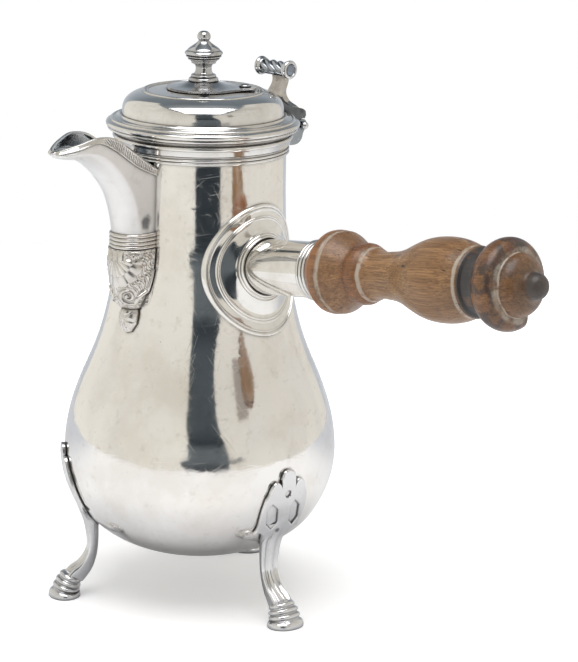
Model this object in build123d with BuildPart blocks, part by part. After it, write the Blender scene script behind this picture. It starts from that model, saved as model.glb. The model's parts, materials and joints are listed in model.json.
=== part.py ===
from build123d import *
from math import sin, cos, radians, sqrt, pi, hypot
import os

os.makedirs("parts", exist_ok=True)

# ---------------------------------------------------------------- dimensions
# Vessel on three feet: +Z up, origin on the table under the vessel axis.
# Spout towards -X, side handle towards -Y, lid hinge towards +X.
total_height = 240.0          # table to the tip of the finial
wall = 1.1                    # raised sheet of the vessel
neck_radius = 34.35           # outside of the straight neck
rim_top = 199.7               # top edge of the vessel
lid_seat = 200.0              # underside of the lid moulding
lid_wall = 1.0
whisk_hole_radius = 7.5
lid_top = 216.0               # flat crown of the lid round the whisk hole

# outside of the vessel, radius and height, bottom centre to neck
belly = [
    (0.0, 21.0), (14.0, 21.35), (22.0, 22.5), (29.2, 24.6), (35.8, 27.6),
    (41.8, 31.4), (46.2, 35.3), (49.7, 40.0), (52.8, 45.8), (55.2, 52.0),
    (56.6, 58.6), (57.0, 64.6), (56.6, 71.0), (55.4, 78.5), (53.4, 86.0),
    (50.8, 93.4), (47.6, 101.0), (44.2, 109.2), (41.3, 118.0), (38.9, 128.0),
    (36.9, 139.0), (35.5, 150.0), (34.75, 161.0), (34.45, 172.0),
    (neck_radius, 185.0),
]

# side handle
handle_height = 143.5         # height at which its line meets the vessel axis
handle_tilt = 6.9             # degrees above level
socket_radius = 11.3
socket_bore = 10.1
socket_end = 73.0             # measured along the handle from the vessel axis
handle_end = 186.5
plate_radius = 27.0           # round plate between socket and vessel

# legs
foot_circle = 57.5
leg_angles = {"leg_front": -94.2, "leg_left": 145.8, "leg_rear": 25.8}

# lid hinge
hinge_x = 45.2
hinge_z = 197.8
knuckle_radius = 2.6
pin_radius = 1.1
hinge_half = 12.5
knuckle_gap = 0.2
hinge_clearance = 0.3

# finial plate that swings on a rivet over the whisk hole
pivot_radius = 17.0
pivot_angle = -43.0
pivot_x = pivot_radius * cos(radians(pivot_angle))
pivot_y = pivot_radius * sin(radians(pivot_angle))
rivet_radius = 1.2
swing_plate_radius = 15.0
swing_plate_bottom = 216.35
swing_plate_edge = 217.25


def offset_points(points, distance):
    """Points moved along the outward normal of a smooth profile."""
    moved = []
    last = len(points) - 1
    for i, (r, z) in enumerate(points):
        r0, z0 = points[max(i - 1, 0)]
        r1, z1 = points[min(i + 1, last)]
        dr, dz = r1 - r0, z1 - z0
        n = hypot(dr, dz)
        nr, nz = dz / n, -dr / n
        if i == 0:
            nr, nz = 0.0, -1.0
        if i == last:
            nr, nz = 1.0, 0.0
        moved.append((r + nr * distance, z + nz * distance))
    return moved


def vessel_solid(distance, top=rim_top):
    """Solid of the vessel's outside, grown or shrunk by a distance."""
    pts = offset_points(belly, distance)
    with BuildPart() as solid:
        with BuildSketch(Plane.XZ):
            with BuildLine():
                Spline(*pts, tangents=((1, 0), (0, 1)))
                Line(pts[-1], (pts[-1][0], top))
                Line((pts[-1][0], top), (0, top))
                Line((0, top), pts[0])
            make_face()
        revolve(axis=Axis.Z)
    return solid.part


def belly_radius(z):
    for (r0, z0), (r1, z1) in zip(belly[:-1], belly[1:]):
        if z0 <= z <= z1:
            return r0 + (r1 - r0) * (z - z0) / (z1 - z0)
    return neck_radius


vessel_outer = vessel_solid(0.0)
vessel_inner = vessel_solid(-wall, rim_top + 5)

# ------------------------------------------------------------------- spout
# Each station is a U-shaped section in a plane across the channel:
# leading edge (x, z), top edge (x, z), half width, depth of the round nose.
spout_stations = [
    ((-41.5, 130.0), (-26.0, 131.5), 3.7, 3.5),
    ((-45.0, 136.0), (-26.0, 136.5), 5.6, 5.2),
    ((-46.3, 144.0), (-26.0, 144.5), 7.4, 6.6),
    ((-46.6, 153.0), (-26.0, 153.5), 8.1, 7.2),
    ((-47.1, 163.0), (-26.0, 164.5), 8.2, 7.2),
    ((-48.7, 171.0), (-26.5, 174.0), 8.2, 7.2),
    ((-52.0, 179.5), (-28.5, 184.4), 8.3, 7.2),
    ((-57.8, 187.0), (-37.2, 190.2), 8.5, 7.2),
    ((-64.2, 192.1), (-48.5, 197.0), 8.8, 7.0),
    ((-70.0, 194.8), (-58.0, 202.7), 9.0, 6.6),
    ((-75.2, 195.4), (-66.3, 203.8), 8.4, 5.6),
    ((-79.2, 196.2), (-74.2, 201.2), 6.4, 3.4),
    ((-81.0, 197.2), (-79.2, 199.5), 3.4, 1.6),
]


def u_section(station, inset, lift):
    """Closed U outline of one station in its own plane."""
    (lx, lz), (tx, tz), w, nose = station
    depth = hypot(tx - lx, tz - lz)
    dx, dz = (lx - tx) / depth, (lz - tz) / depth
    plane = Plane(origin=(tx, 0, tz), x_dir=(0, 1, 0), z_dir=(dz, 0, -dx))
    # local +x is +Y; local y is z_dir x x_dir
    ydir = plane.y_dir
    sign = 1 if (ydir.X * dx + ydir.Z * dz) > 0 else -1
    w = w - inset
    d = depth - inset
    n = max(nose - inset, 0.8)
    pts = []
    for k in range(0, 13):
        a = pi * k / 12
        pts.append((-w * cos(a), sign * (d - n + n * sin(a))))
    top = -lift * sign
    return plane, w, pts, top


def channel(inset, lift, first=0, last=None):
    stations = spout_stations[first:last]
    with BuildPart() as part:
        for station in stations:
            plane, w, pts, top = u_section(station, inset, lift)
            with BuildSketch(plane):
                with BuildLine():
                    Line((-w, top), pts[0])
                    Spline(*pts, tangents=((0, pts[1][1] - pts[0][1]), (0, pts[-1][1] - pts[-2][1])))
                    Line(pts[-1], (w, top))
                    Line((w, top), (-w, top))
                make_face()
        loft()
    return part.part


spout_outer = channel(0.0, 0.0)
spout_inner = channel(1.1, 3.0)



def finish(builder, name):
    builder.part.label = name
    export_step(builder.part, "parts/" + name + ".step")


# vessel sheet, open at the top and through the wall behind the spout
with BuildPart() as body_shell:
    add(vessel_outer)
    add(vessel_inner, mode=Mode.SUBTRACT)
    add(spout_inner, mode=Mode.SUBTRACT)
finish(body_shell, "body_shell")

# moulded rim round the mouth: two reeds, cove, flat, large reed, lip
with BuildPart() as neck_rim:
    with BuildSketch(Plane.XZ):
        with BuildLine():
            Line((neck_radius, 190.4), (35.0, 190.4))
            ThreePointArc((35.0, 190.4), (35.6, 191.05), (35.0, 191.7))
            ThreePointArc((35.0, 191.7), (35.6, 192.35), (35.0, 193.0))
            ThreePointArc((35.0, 193.0), (35.1, 193.75), (35.9, 194.1))
            Line((35.9, 194.1), (36.1, 195.8))
            Line((36.1, 195.8), (36.2, 196.2))
            ThreePointArc((36.2, 196.2), (37.15, 197.2), (36.2, 198.2))
            ThreePointArc((36.2, 198.2), (35.75, 198.9), (36.3, rim_top))
            Line((36.3, rim_top), (neck_radius, rim_top))
            Line((neck_radius, rim_top), (neck_radius, 190.4))
        make_face()
    revolve(axis=Axis.Z)
finish(neck_rim, "neck_rim")

# spout channel, open along the top
with BuildPart() as spout_body:
    add(spout_outer)
    add(spout_inner, mode=Mode.SUBTRACT)
    add(vessel_outer, mode=Mode.SUBTRACT)
finish(spout_body, "spout_body")


# chased border strips soldered along both top edges of the spout
def border_strip(side):
    tops = [(-33.6, 8.35, 187.7), (-37.2, 8.5, 190.2), (-42.0, 8.62, 193.2),
            (-48.5, 8.8, 197.0), (-53.5, 8.92, 200.1), (-58.0, 9.0, 202.7),
            (-62.3, 8.85, 203.9), (-66.3, 8.4, 203.8), (-70.6, 7.6, 202.7)]
    places = [Vector(x, side * (y + 0.25), z - 1.8) for x, y, z in tops]
    with BuildPart() as strip:
        for i, place in enumerate(places):
            along = (places[min(i + 1, len(places) - 1)] - places[max(i - 1, 0)]).normalized()
            across = Vector(0, 0, 1).cross(along).normalized()
            with BuildSketch(Plane(origin=place, x_dir=across, z_dir=along)):
                Rectangle(1.6, 3.6)
        loft()
        add(spout_outer, mode=Mode.SUBTRACT)
        add(spout_inner, mode=Mode.SUBTRACT)
        add(vessel_outer, mode=Mode.SUBTRACT)
    return strip


spout_border_front = border_strip(-1)
finish(spout_border_front, "spout_border_front")
spout_border_back = border_strip(1)
finish(spout_border_back, "spout_border_back")

# reeded band round the spout, four reeds
band_bottom = 155.6
band_pitch = 1.6
reed_radius = 0.86
reed_half = 9.2 - reed_radius          # centre line of a reed, half width
with BuildPart() as spout_collar:
    with BuildSketch(Plane.XY.offset(band_bottom + 0.3)):
        with BuildLine():
            Line((-30.0, 8.75), (-38.9, 8.75))
            ThreePointArc((-38.9, 8.75), (-47.55, 0.0), (-38.9, -8.75))
            Line((-38.9, -8.75), (-30.0, -8.75))
            Line((-30.0, -8.75), (-30.0, 8.75))
        make_face()
    extrude(amount=4 * band_pitch - 0.6)
    for k in range(4):
        level = band_bottom + reed_radius + 0.02 + 1.58 * k
        with BuildLine() as reed_path:
            Line((-30.0, reed_half, level), (-38.8, reed_half, level))
            ThreePointArc((-38.8, reed_half, level), (-38.8 - reed_half, 0, level), (-38.8, -reed_half, level))
            Line((-38.8, -reed_half, level), (-30.0, -reed_half, level))
        with BuildSketch(Plane(origin=(-30.0, reed_half, level), x_dir=(0, 1, 0), z_dir=(-1, 0, 0))):
            Circle(reed_radius)
        sweep(path=reed_path.line)
    add(spout_outer, mode=Mode.SUBTRACT)
    add(spout_inner, mode=Mode.SUBTRACT)
    add(vessel_outer, mode=Mode.SUBTRACT)
finish(spout_collar, "spout_collar")

# cast shell casing below the reeded band
shell_stations = [
    ((-43.6, 130.2), (-26.0, 130.2), 4.9, 4.6),
    ((-46.4, 134.0), (-26.0, 134.0), 6.3, 5.8),
    ((-47.5, 140.0), (-26.0, 140.0), 8.1, 7.0),
    ((-47.9, 148.0), (-26.0, 148.0), 9.1, 7.6),
    ((-47.7, band_bottom), (-26.0, band_bottom), 9.2, 7.6),
]


def shell_blank(grow):
    """Outside of the shell casing, grown by a distance."""
    with BuildPart() as blank:
        for station in shell_stations:
            plane, w, pts, top = u_section(station, -grow, 0.0)
            with BuildSketch(plane):
                with BuildLine():
                    Line((-w, top), pts[0])
                    Spline(*pts, tangents=((0, pts[1][1] - pts[0][1]), (0, pts[-1][1] - pts[-2][1])))
                    Line(pts[-1], (w, top))
                    Line((w, top), (-w, top))
                make_face()
        loft()
    return blank.part


with BuildPart() as shell_ornament:
    add(shell_blank(0.0))
    # two tiers of scalloped ribs, cut as shallow flutes down the front
    for k in range(-3, 4):
        a = radians(k * 17.0)
        with Locations(Location((-40.3 - 8.35 * cos(a), 9.75 * sin(a), 148.6))):
            Cylinder(0.95, 5.6, align=(Align.CENTER, Align.CENTER, Align.MIN), mode=Mode.SUBTRACT)
    for k in range(-2, 3):
        a = radians(k * 20.0)
        with Locations(Location((-40.2 - 8.0 * cos(a), 8.9 * sin(a), 141.2))):
            Cylinder(0.95, 6.0, align=(Align.CENTER, Align.CENTER, Align.MIN), mode=Mode.SUBTRACT)
    add(spout_outer, mode=Mode.SUBTRACT)
    add(spout_inner, mode=Mode.SUBTRACT)
    add(vessel_outer, mode=Mode.SUBTRACT)
finish(shell_ornament, "shell_ornament")
shell_solid = shell_ornament.part


# scroll at each lower corner of the shell, with a tail running up the seam;
# both lie on the shell's own curved face
shell_grown_low = shell_blank(0.7)
shell_grown_high = shell_blank(1.35)


def scroll(side):
    axis = Vector(-0.85, side * 0.527, 0)
    centre = (-42.2, side * 3.2, 136.4)
    plane = Plane(origin=centre, x_dir=(0, 0, 1), z_dir=axis)
    tail = Plane(origin=(0, side * 3.6, 0), x_dir=(1, 0, 0), z_dir=(0, -1, 0))
    with BuildPart() as bed:
        with BuildSketch(plane):
            Circle(3.7)
        extrude(amount=8)
        add(shell_grown_low, mode=Mode.INTERSECT)
    with BuildPart() as part:
        with BuildSketch(plane):
            Circle(3.7)
            Circle(2.6, mode=Mode.SUBTRACT)
            Circle(1.5)
        extrude(amount=8)
        with BuildSketch(tail):
            with BuildLine():
                Polyline((-44.4, 133.6), (-41.4, 133.6), (-37.6, 137.8), (-36.2, 143.6), (-35.6, 149.4),
                         (-37.4, 148.6), (-39.2, 144.0), (-40.6, 140.4), (-42.6, 138.4), (-44.4, 133.6))
            make_face()
        extrude(amount=-side * 8.0)
        add(shell_grown_high, mode=Mode.INTERSECT)
        add(bed.part)
        add(shell_blank(0.0), mode=Mode.SUBTRACT)
        add(spout_outer, mode=Mode.SUBTRACT)
        add(vessel_outer, mode=Mode.SUBTRACT)
    return part


scroll_front = scroll(-1)
finish(scroll_front, "scroll_front")
scroll_back = scroll(1)
finish(scroll_back, "scroll_back")

# small leaf drop on the vessel under the shell
with BuildPart() as leaf_drop:
    with BuildSketch(Plane(origin=(-30, 0, 0), x_dir=(0, -1, 0), z_dir=(-1, 0, 0))):
        with BuildLine():
            Spline((-4.7, 128.2), (-4.1, 123.8), (0.0, 119.8), (4.1, 123.8), (4.7, 128.2))
            Spline((4.7, 128.2), (2.6, 131.8), (0.0, 132.6), (-2.6, 131.8), (-4.7, 128.2))
        make_face()
    extrude(amount=16)
    with BuildSketch(Plane.XZ):
        with BuildLine():
            Spline((-37.0, 132.2), (-42.2, 130.8), (-44.0, 126.8), (-43.9, 122.8), (-41.2, 119.4))
            Polyline((-41.2, 119.4), (-30.0, 119.4), (-30.0, 132.2), (-37.0, 132.2))
        make_face()
    extrude(amount=8, both=True, mode=Mode.INTERSECT)
    add(vessel_outer, mode=Mode.SUBTRACT)
    add(spout_outer, mode=Mode.SUBTRACT)
    add(shell_solid, mode=Mode.SUBTRACT)
    add(scroll_front.part, mode=Mode.SUBTRACT)
    add(scroll_back.part, mode=Mode.SUBTRACT)
finish(leaf_drop, "leaf_drop")


# -------------------------------------------------------------- side handle
tilt = radians(handle_tilt)
handle_dir = Vector(0, -cos(tilt), sin(tilt))
handle_origin = Vector(0, 0, handle_height)
handle_axis = Axis(handle_origin, handle_dir)
# profile plane: local x is the radius, local y runs out along the handle
handle_profile = Plane(origin=handle_origin, x_dir=(1, 0, 0), z_dir=(0, -sin(tilt), -cos(tilt)))
handle_cross = Plane(origin=handle_origin, x_dir=(1, 0, 0), z_dir=handle_dir)

# socket: plain tube from the vessel wall to the reeded mouth
with BuildPart() as handle_socket:
    with BuildSketch(handle_cross.offset(20)):
        Circle(socket_radius)
        Circle(socket_bore, mode=Mode.SUBTRACT)
    extrude(amount=socket_end - 20)
    add(vessel_outer, mode=Mode.SUBTRACT)
finish(handle_socket, "handle_socket")

# reeded ring at the socket mouth
with BuildPart() as socket_ring:
    with BuildSketch(handle_profile):
        with BuildLine():
            s0 = socket_end - 5.7
            Line((socket_radius, s0), (socket_radius + 0.25, s0))
            ThreePointArc((socket_radius + 0.25, s0), (socket_radius + 0.95, s0 + 0.85), (socket_radius + 0.3, s0 + 1.7))
            ThreePointArc((socket_radius + 0.3, s0 + 1.7), (socket_radius + 1.2, s0 + 2.7), (socket_radius + 0.4, s0 + 3.7))
            ThreePointArc((socket_radius + 0.4, s0 + 3.7), (socket_radius + 1.3, s0 + 4.7), (socket_radius + 0.5, socket_end))
            Line((socket_radius + 0.5, socket_end), (socket_radius, socket_end))
            Line((socket_radius, socket_end), (socket_radius, s0))
        make_face()
    revolve(axis=handle_axis)
finish(socket_ring, "socket_ring")


# stepped round plate, a flat disc bent round the vessel, so it measures
# less across than up and down
bend_radius = 36.5


def bent(r):
    return bend_radius * sin(r / bend_radius)


def plate_layer(outer, inner, thickness, drop):
    with BuildPart() as layer:
        with BuildSketch(handle_cross.offset(18)):
            with Locations((0, -drop)):
                Ellipse(bent(outer), outer)
                if inner:
                    Ellipse(bent(inner), inner, mode=Mode.SUBTRACT)
        extrude(amount=30)
        add(vessel_solid(thickness), mode=Mode.INTERSECT)
    return layer.part


with BuildPart() as handle_plate:
    add(plate_layer(plate_radius - 0.3, 0, 0.75, 1.5))
    add(plate_layer(plate_radius, plate_radius - 1.7, 1.45, 1.5))
    add(plate_layer(21.6, 20.4, 1.35, 1.1))
    add(plate_layer(19.2, 0, 1.1, 0.8))
    add(plate_layer(17.6, 0, 1.5, 0.5))
    add(plate_layer(16.0, 0, 2.0, 0.3))
    add(plate_layer(14.6, 0, 2.6, 0.0))
    add(plate_layer(13.4, 0, 3.4, 0.0))
    add(vessel_outer, mode=Mode.SUBTRACT)
    with BuildSketch(handle_cross.offset(18)):
        Circle(socket_radius)
    extrude(amount=32, mode=Mode.SUBTRACT)
finish(handle_plate, "handle_plate")

# turned wooden grip, one piece with its tenon in the socket
grip = [
    (12.4, 73.0), (13.4, 74.4), (15.6, 77.2), (16.5, 78.6), (16.75, 80.2), (16.65, 81.8),
    (16.1, 82.6), (16.2, 83.2), (16.45, 83.9), (16.15, 84.7), (15.2, 86.4), (14.0, 88.4),
    (12.8, 90.5), (11.75, 92.3), (11.7, 93.0), (12.1, 94.2), (12.25, 95.8), (12.1, 97.3),
    (11.5, 98.6), (10.75, 99.4), (10.75, 100.2), (10.5, 101.0), (9.7, 102.4), (9.25, 104.6),
    (9.2, 107.0), (9.45, 110.2), (9.9, 114.2), (10.6, 117.0), (11.6, 120.0), (12.8, 122.8),
    (14.1, 126.0), (15.3, 129.4), (16.15, 133.0), (16.55, 137.0), (16.6, 140.4), (16.35, 143.6),
    (15.75, 146.8), (14.9, 149.6), (13.9, 152.2), (13.5, 153.4),
]
with BuildPart() as wood_handle:
    with BuildSketch(handle_profile):
        with BuildLine():
            Polyline((0, 46.5), (socket_bore - 0.6, 46.5), (socket_bore, 47.1), (socket_bore, 73.0), grip[0])
            Polyline(*grip[:5])
            Polyline(*grip[4:13])
            Polyline(*grip[12:22])
            Spline(*grip[21:])
            # waist behind the mushroom end
            Polyline(grip[-1], (13.9, 154.2), (13.4, 155.0), (12.3, 155.6), (12.0, 158.4), (12.2, 161.4),
                     (13.2, 162.2), (14.9, 163.1))
            Spline((14.9, 163.1), (16.6, 164.8), (17.7, 167.6), (17.7, 170.2), (16.5, 172.4), (14.3, 173.6), (12.6, 173.8))
            Polyline((12.6, 173.8), (12.2, 174.4))
            Spline((12.2, 174.4), (11.7, 176.2), (10.3, 178.0), (8.2, 179.3), (6.2, 180.3), (5.35, 181.2))
            Spline((5.35, 181.2), (5.2, 182.6), (4.8, 184.1), (3.6, 185.6), (1.8, 186.35), (0, handle_end))
            Line((0, handle_end), (0, 46.5))
        make_face()
    revolve(axis=handle_axis)
    # piece missing from the lip of the mushroom end
    with BuildSketch(Plane(origin=handle_origin + handle_dir * 163.6, x_dir=(1, 0, 0), z_dir=handle_dir)):
        with BuildLine():
            Polyline((4.2, -20.0), (21.0, -20.0), (21.0, -1.6), (11.7, -1.6))
            ThreePointArc((11.7, -1.6), (9.3, -7.3), (4.2, -11.1))
            Line((4.2, -11.1), (4.2, -20.0))
        make_face()
    extrude(amount=10.6, mode=Mode.SUBTRACT)
finish(wood_handle, "wood_handle")

# --------------------------------------------------------------------- legs
# one casting each: pierced plate on the belly, stem and three-ring hoof
# half outline of the plate: three lobes, waist, and two horns over the stem
leg_edge = [
    (0.0, 67.4), (1.3, 67.15), (2.3, 66.6), (3.1, 65.5), (3.4, 64.2), (3.5, 60.2), (4.1, 61.6),
    (4.9, 62.6), (5.8, 63.0), (6.8, 62.9), (7.7, 62.4), (8.4, 61.4), (9.0, 60.0), (9.3, 58.4),
    (10.6, 55.6), (11.1, 53.8), (11.3, 52.0), (11.2, 48.6), (10.9, 45.4), (10.8, 42.4),
    (11.2, 40.4), (10.4, 40.9), (9.6, 41.0), (7.9, 40.2), (6.5, 38.2), (5.5, 35.4),
]
leg_plate_grown = vessel_solid(1.9)
with BuildPart() as leg_plate:
    with BuildSketch(Plane(origin=(36, 0, 0), x_dir=(0, 1, 0), z_dir=(1, 0, 0))):
        with BuildLine():
            Polyline(*leg_edge, *[(-y, z) for y, z in reversed(leg_edge[1:])], close=True)
        make_face()
        with Locations((0, 57.2)):
            Circle(1.35, mode=Mode.SUBTRACT)
    extrude(amount=40)
    # two six-sided windows, cut square to the belly
    with BuildSketch(Plane(origin=(37.4, 0, 54.6), x_dir=(0, 1, 0), z_dir=(cos(radians(28)), 0, -sin(radians(28))))):
        with Locations((5.7, 0), (-5.7, 0)):
            Polygon((0, 5.6), (-2.6, 2.9), (-2.6, -2.9), (0, -5.6), (2.6, -2.9), (2.6, 2.9), align=None)
    extrude(amount=30, mode=Mode.SUBTRACT)
    add(leg_plate_grown, mode=Mode.INTERSECT)

# stem stations: inner point, outer point (radius, height), half width
stem_stations = [
    ((44.6, 41.6), (53.9, 43.4), 5.9),
    ((43.4, 36.6), (51.5, 37.6), 5.4),
    ((43.2, 31.6), (49.4, 32.0), 5.0),
    ((43.3, 24.2), (48.0, 23.8), 4.5),
    ((44.1, 17.6), (48.9, 19.0), 4.3),
    ((45.9, 12.0), (51.6, 14.2), 4.7),
    ((48.5, 8.0), (56.6, 11.0), 6.0),
    ((50.0, 5.6), (57.4, 8.4), 6.0),
]


def eased(rows, parts):
    """Rows of numbers with extra rows between them on a smooth curve."""
    out = []
    for i in range(len(rows) - 1):
        a = rows[max(i - 1, 0)]
        b, c = rows[i], rows[i + 1]
        d = rows[min(i + 2, len(rows) - 1)]
        for k in range(parts):
            t = k / parts
            out.append(tuple(0.5 * (2 * q + (r - p) * t + (2 * p - 5 * q + 4 * r - s) * t * t + (3 * q - p - 3 * r + s) * t ** 3)
                             for p, q, r, s in zip(a, b, c, d)))
    return out + [rows[-1]]


stem_rows = eased([(ix, iz, ox, oz, w) for (ix, iz), (ox, oz), w in stem_stations], 3)
with BuildPart() as leg_stem:
    for ix, iz, ox, oz, w in stem_rows:
        n = hypot(ox - ix, oz - iz)
        ux, uz = (ox - ix) / n, (oz - iz) / n
        with BuildSketch(Plane(origin=(ix, 0, iz), x_dir=(ux, 0, uz), z_dir=(-uz, 0, ux))):
            with BuildLine():
                Polyline((0.0, -w * 0.62), (n * 0.72, -w), (n, 0.0), (n * 0.72, w), (0.0, w * 0.62), close=True)
            make_face()
    loft(ruled=True)


# hoof rings, sole upwards: centre (radius, height), half sizes, thickness, lean
hoof_rows = [
    (56.9, 3.0, 5.6, 7.2, 2.0, 12), (56.5, 3.9, 4.7, 6.3, 2.2, 14), (56.1, 4.9, 5.1, 6.7, 2.0, 17),
    (55.7, 5.8, 4.3, 5.9, 2.2, 19), (55.3, 6.7, 4.8, 6.4, 2.0, 21), (54.9, 7.6, 4.1, 5.8, 2.2, 21),
    (54.5, 8.4, 4.8, 6.6, 1.9, 22),
]


def hoof_ring(cx, cz, radial, across, thick, lean):
    """Rounded oval ring of the hoof, leaning outwards."""
    with BuildPart() as ring:
        with BuildSketch(Plane(origin=(cx, 0, cz), x_dir=(cos(radians(lean)), 0, sin(radians(lean))),
                               z_dir=(-sin(radians(lean)), 0, cos(radians(lean))))):
            Ellipse(radial, across)
        extrude(amount=thick / 2, both=True)
        fillet(ring.edges(), thick * 0.42)
    return ring.part


with BuildPart() as leg_hoof:
    with BuildSketch(Plane.XY):
        with Locations((foot_circle, 0)):
            Ellipse(6.65, 8.15)
    extrude(amount=2.2, taper=6)
    # four rings with a core between them, so their grooves are shallow
    for row in hoof_rows:
        add(hoof_ring(*row))

with BuildPart() as leg_blank:
    add(leg_plate.part)
    add(leg_stem.part)
    add(leg_hoof.part)
    add(vessel_outer, mode=Mode.SUBTRACT)
    # small blind hole at the head of the stem
    with BuildSketch(Plane(origin=(51.4, 0, 0), x_dir=(0, 1, 0), z_dir=(1, 0, 0))):
        with Locations((-0.8, 40.2)):
            Circle(1.0)
    extrude(amount=6, mode=Mode.SUBTRACT)


leg_parts = {}
for name, angle in leg_angles.items():
    with BuildPart() as leg:
        add(leg_blank.part.rotate(Axis.Z, angle))
    leg_parts[name] = leg
    finish(leg, name)


# -------------------------------------------------------------- hinge, vessel side
hinge_axis = Axis((hinge_x, 0, hinge_z), (0, 1, 0))
hinge_plane = Plane(origin=(hinge_x, 0, hinge_z), x_dir=(1, 0, 0), z_dir=(0, -1, 0))
# knuckle spans along the pin, alternating vessel and lid
vessel_spans = [(-hinge_half, -7.6), (-2.4, 2.4), (7.6, hinge_half)]
lid_spans = [(-7.6 + knuckle_gap, -2.4 - knuckle_gap), (2.4 + knuckle_gap, 7.6 - knuckle_gap)]
rim_solid = neck_rim.part


def along_pin(radius, y0, y1):
    with BuildPart() as rod:
        with BuildSketch(Plane(origin=(hinge_x, y0, hinge_z), x_dir=(1, 0, 0), z_dir=(0, 1, 0))):
            Circle(radius)
        extrude(amount=y1 - y0)
    return rod.part


with BuildPart() as hinge_bracket:
    with BuildSketch(Plane.XZ):
        with BuildLine():
            Line((30.0, 198.6), (43.4, 198.6))
            Line((43.4, 198.6), (hinge_x, 199.9))
            Line((hinge_x, 199.9), (46.9, 197.9))
            Line((46.9, 197.9), (46.5, 195.6))
            Spline((46.5, 195.6), (45.6, 194.0), (45.0, 192.2), (43.4, 190.6), (40.4, 189.9), (30.0, 189.6))
            Line((30.0, 189.6), (30.0, 198.6))
        make_face()
    extrude(amount=hinge_half, both=True)
    for y0, y1 in vessel_spans:
        add(along_pin(knuckle_radius, y0, y1))
    for y0, y1 in ((-7.6, -2.4), (2.4, 7.6)):
        add(along_pin(knuckle_radius + hinge_clearance, y0, y1), mode=Mode.SUBTRACT)
        # room for the web of the lid knuckle as it swings back
        with BuildSketch(Plane.XZ.offset(-y0)):
            with BuildLine():
                Polyline((hinge_x - 2.9, hinge_z), (hinge_x - 3.4, 202.0), (50.0, 202.0), (50.0, 195.9), (47.2, 195.6), (hinge_x, hinge_z), close=True)
            make_face()
        extrude(amount=-(y1 - y0), mode=Mode.SUBTRACT)
    add(along_pin(pin_radius, -hinge_half - 1, hinge_half + 1), mode=Mode.SUBTRACT)
    add(vessel_outer, mode=Mode.SUBTRACT)
    add(rim_solid, mode=Mode.SUBTRACT)
finish(hinge_bracket, "hinge_bracket")

# pin with a small ball on each end
with BuildPart() as hinge_pin:
    with BuildSketch(Plane(origin=(hinge_x, 0, hinge_z), x_dir=(1, 0, 0), z_dir=(0, 0, 1))):
        with BuildLine():
            ball = 1.6
            middle = hinge_half + 1.4
            neck = middle - sqrt(ball ** 2 - pin_radius ** 2)
            Line((0, -middle - ball), (0, middle + ball))
            ThreePointArc((0, middle + ball), (ball, middle), (pin_radius, neck))
            Line((pin_radius, neck), (pin_radius, -neck))
            ThreePointArc((pin_radius, -neck), (ball, -middle), (0, -middle - ball))
        make_face()
    revolve(axis=hinge_axis)
finish(hinge_pin, "hinge_pin")

# ---------------------------------------------------------------------- lid
lid_outside = [(33.4, 206.2), (33.3, 207.4), (33.15, 208.8), (32.75, 210.3), (31.9, 211.8),
               (30.4, 213.2), (28.2, 214.4), (25.6, 215.25)]


def lid_profile(distance):
    pts = [(r - distance * 0.9 if i < 3 else r - distance * 0.7, z - distance * (0.15 if i < 3 else 0.75))
           for i, (r, z) in enumerate(lid_outside)]
    pts[-1] = (lid_outside[-1][0] - distance * 0.1, lid_outside[-1][1] - distance)
    return pts


with BuildPart() as lid_dome:
    with BuildSketch(Plane.XZ):
        outside = lid_outside
        inside = lid_profile(lid_wall)
        with BuildLine():
            Line((33.4, lid_seat), (33.4, 206.2))
            Spline(*outside)
            Line(outside[-1], (16.0, lid_top))
            Line((16.0, lid_top), (whisk_hole_radius, lid_top))
            Line((whisk_hole_radius, lid_top), (whisk_hole_radius, lid_top - 1.1))
            Line((whisk_hole_radius, lid_top - 1.1), (16.0, lid_top - 1.1))
            Line((16.0, lid_top - 1.1), inside[-1])
            Spline(*reversed(inside))
            Line(inside[0], (32.4, 205.0))
            Line((32.4, 205.0), (32.4, lid_seat))
            Line((32.4, lid_seat), (33.4, lid_seat))
        make_face()
    revolve(axis=Axis.Z)
    with Locations((pivot_x, pivot_y, lid_top)):
        Cylinder(rivet_radius, 8, mode=Mode.SUBTRACT)
finish(lid_dome, "lid_dome")

# moulded rim of the lid: lip, large reed, groove, small reed, step
with BuildPart() as lid_moulding:
    with BuildSketch(Plane.XZ):
        with BuildLine():
            Line((33.4, lid_seat), (38.5, lid_seat))
            ThreePointArc((38.5, lid_seat), (39.25, 200.55), (39.0, 201.2))
            ThreePointArc((39.0, 201.2), (39.9, 202.3), (39.1, 203.4))
            Line((39.1, 203.4), (38.1, 203.75))
            ThreePointArc((38.1, 203.75), (37.6, 204.65), (36.7, 204.45))
            Line((36.7, 204.45), (36.3, 204.75))
            ThreePointArc((36.3, 204.75), (35.2, 205.1), (34.3, 206.0))
            Line((34.3, 206.0), (33.4, 206.0))
            Line((33.4, 206.0), (33.4, lid_seat))
        make_face()
    revolve(axis=Axis.Z)
finish(lid_moulding, "lid_moulding")

# bezel that drops into the mouth
with BuildPart() as lid_bezel:
    with BuildSketch(Plane.XZ):
        with BuildLine():
            Polyline((31.4, 194.6), (32.1, 194.6), (32.4, 195.2), (32.4, 203.2), (31.6, 203.2), (31.4, 194.6))
        make_face()
    revolve(axis=Axis.Z)
finish(lid_bezel, "lid_bezel")

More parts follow.
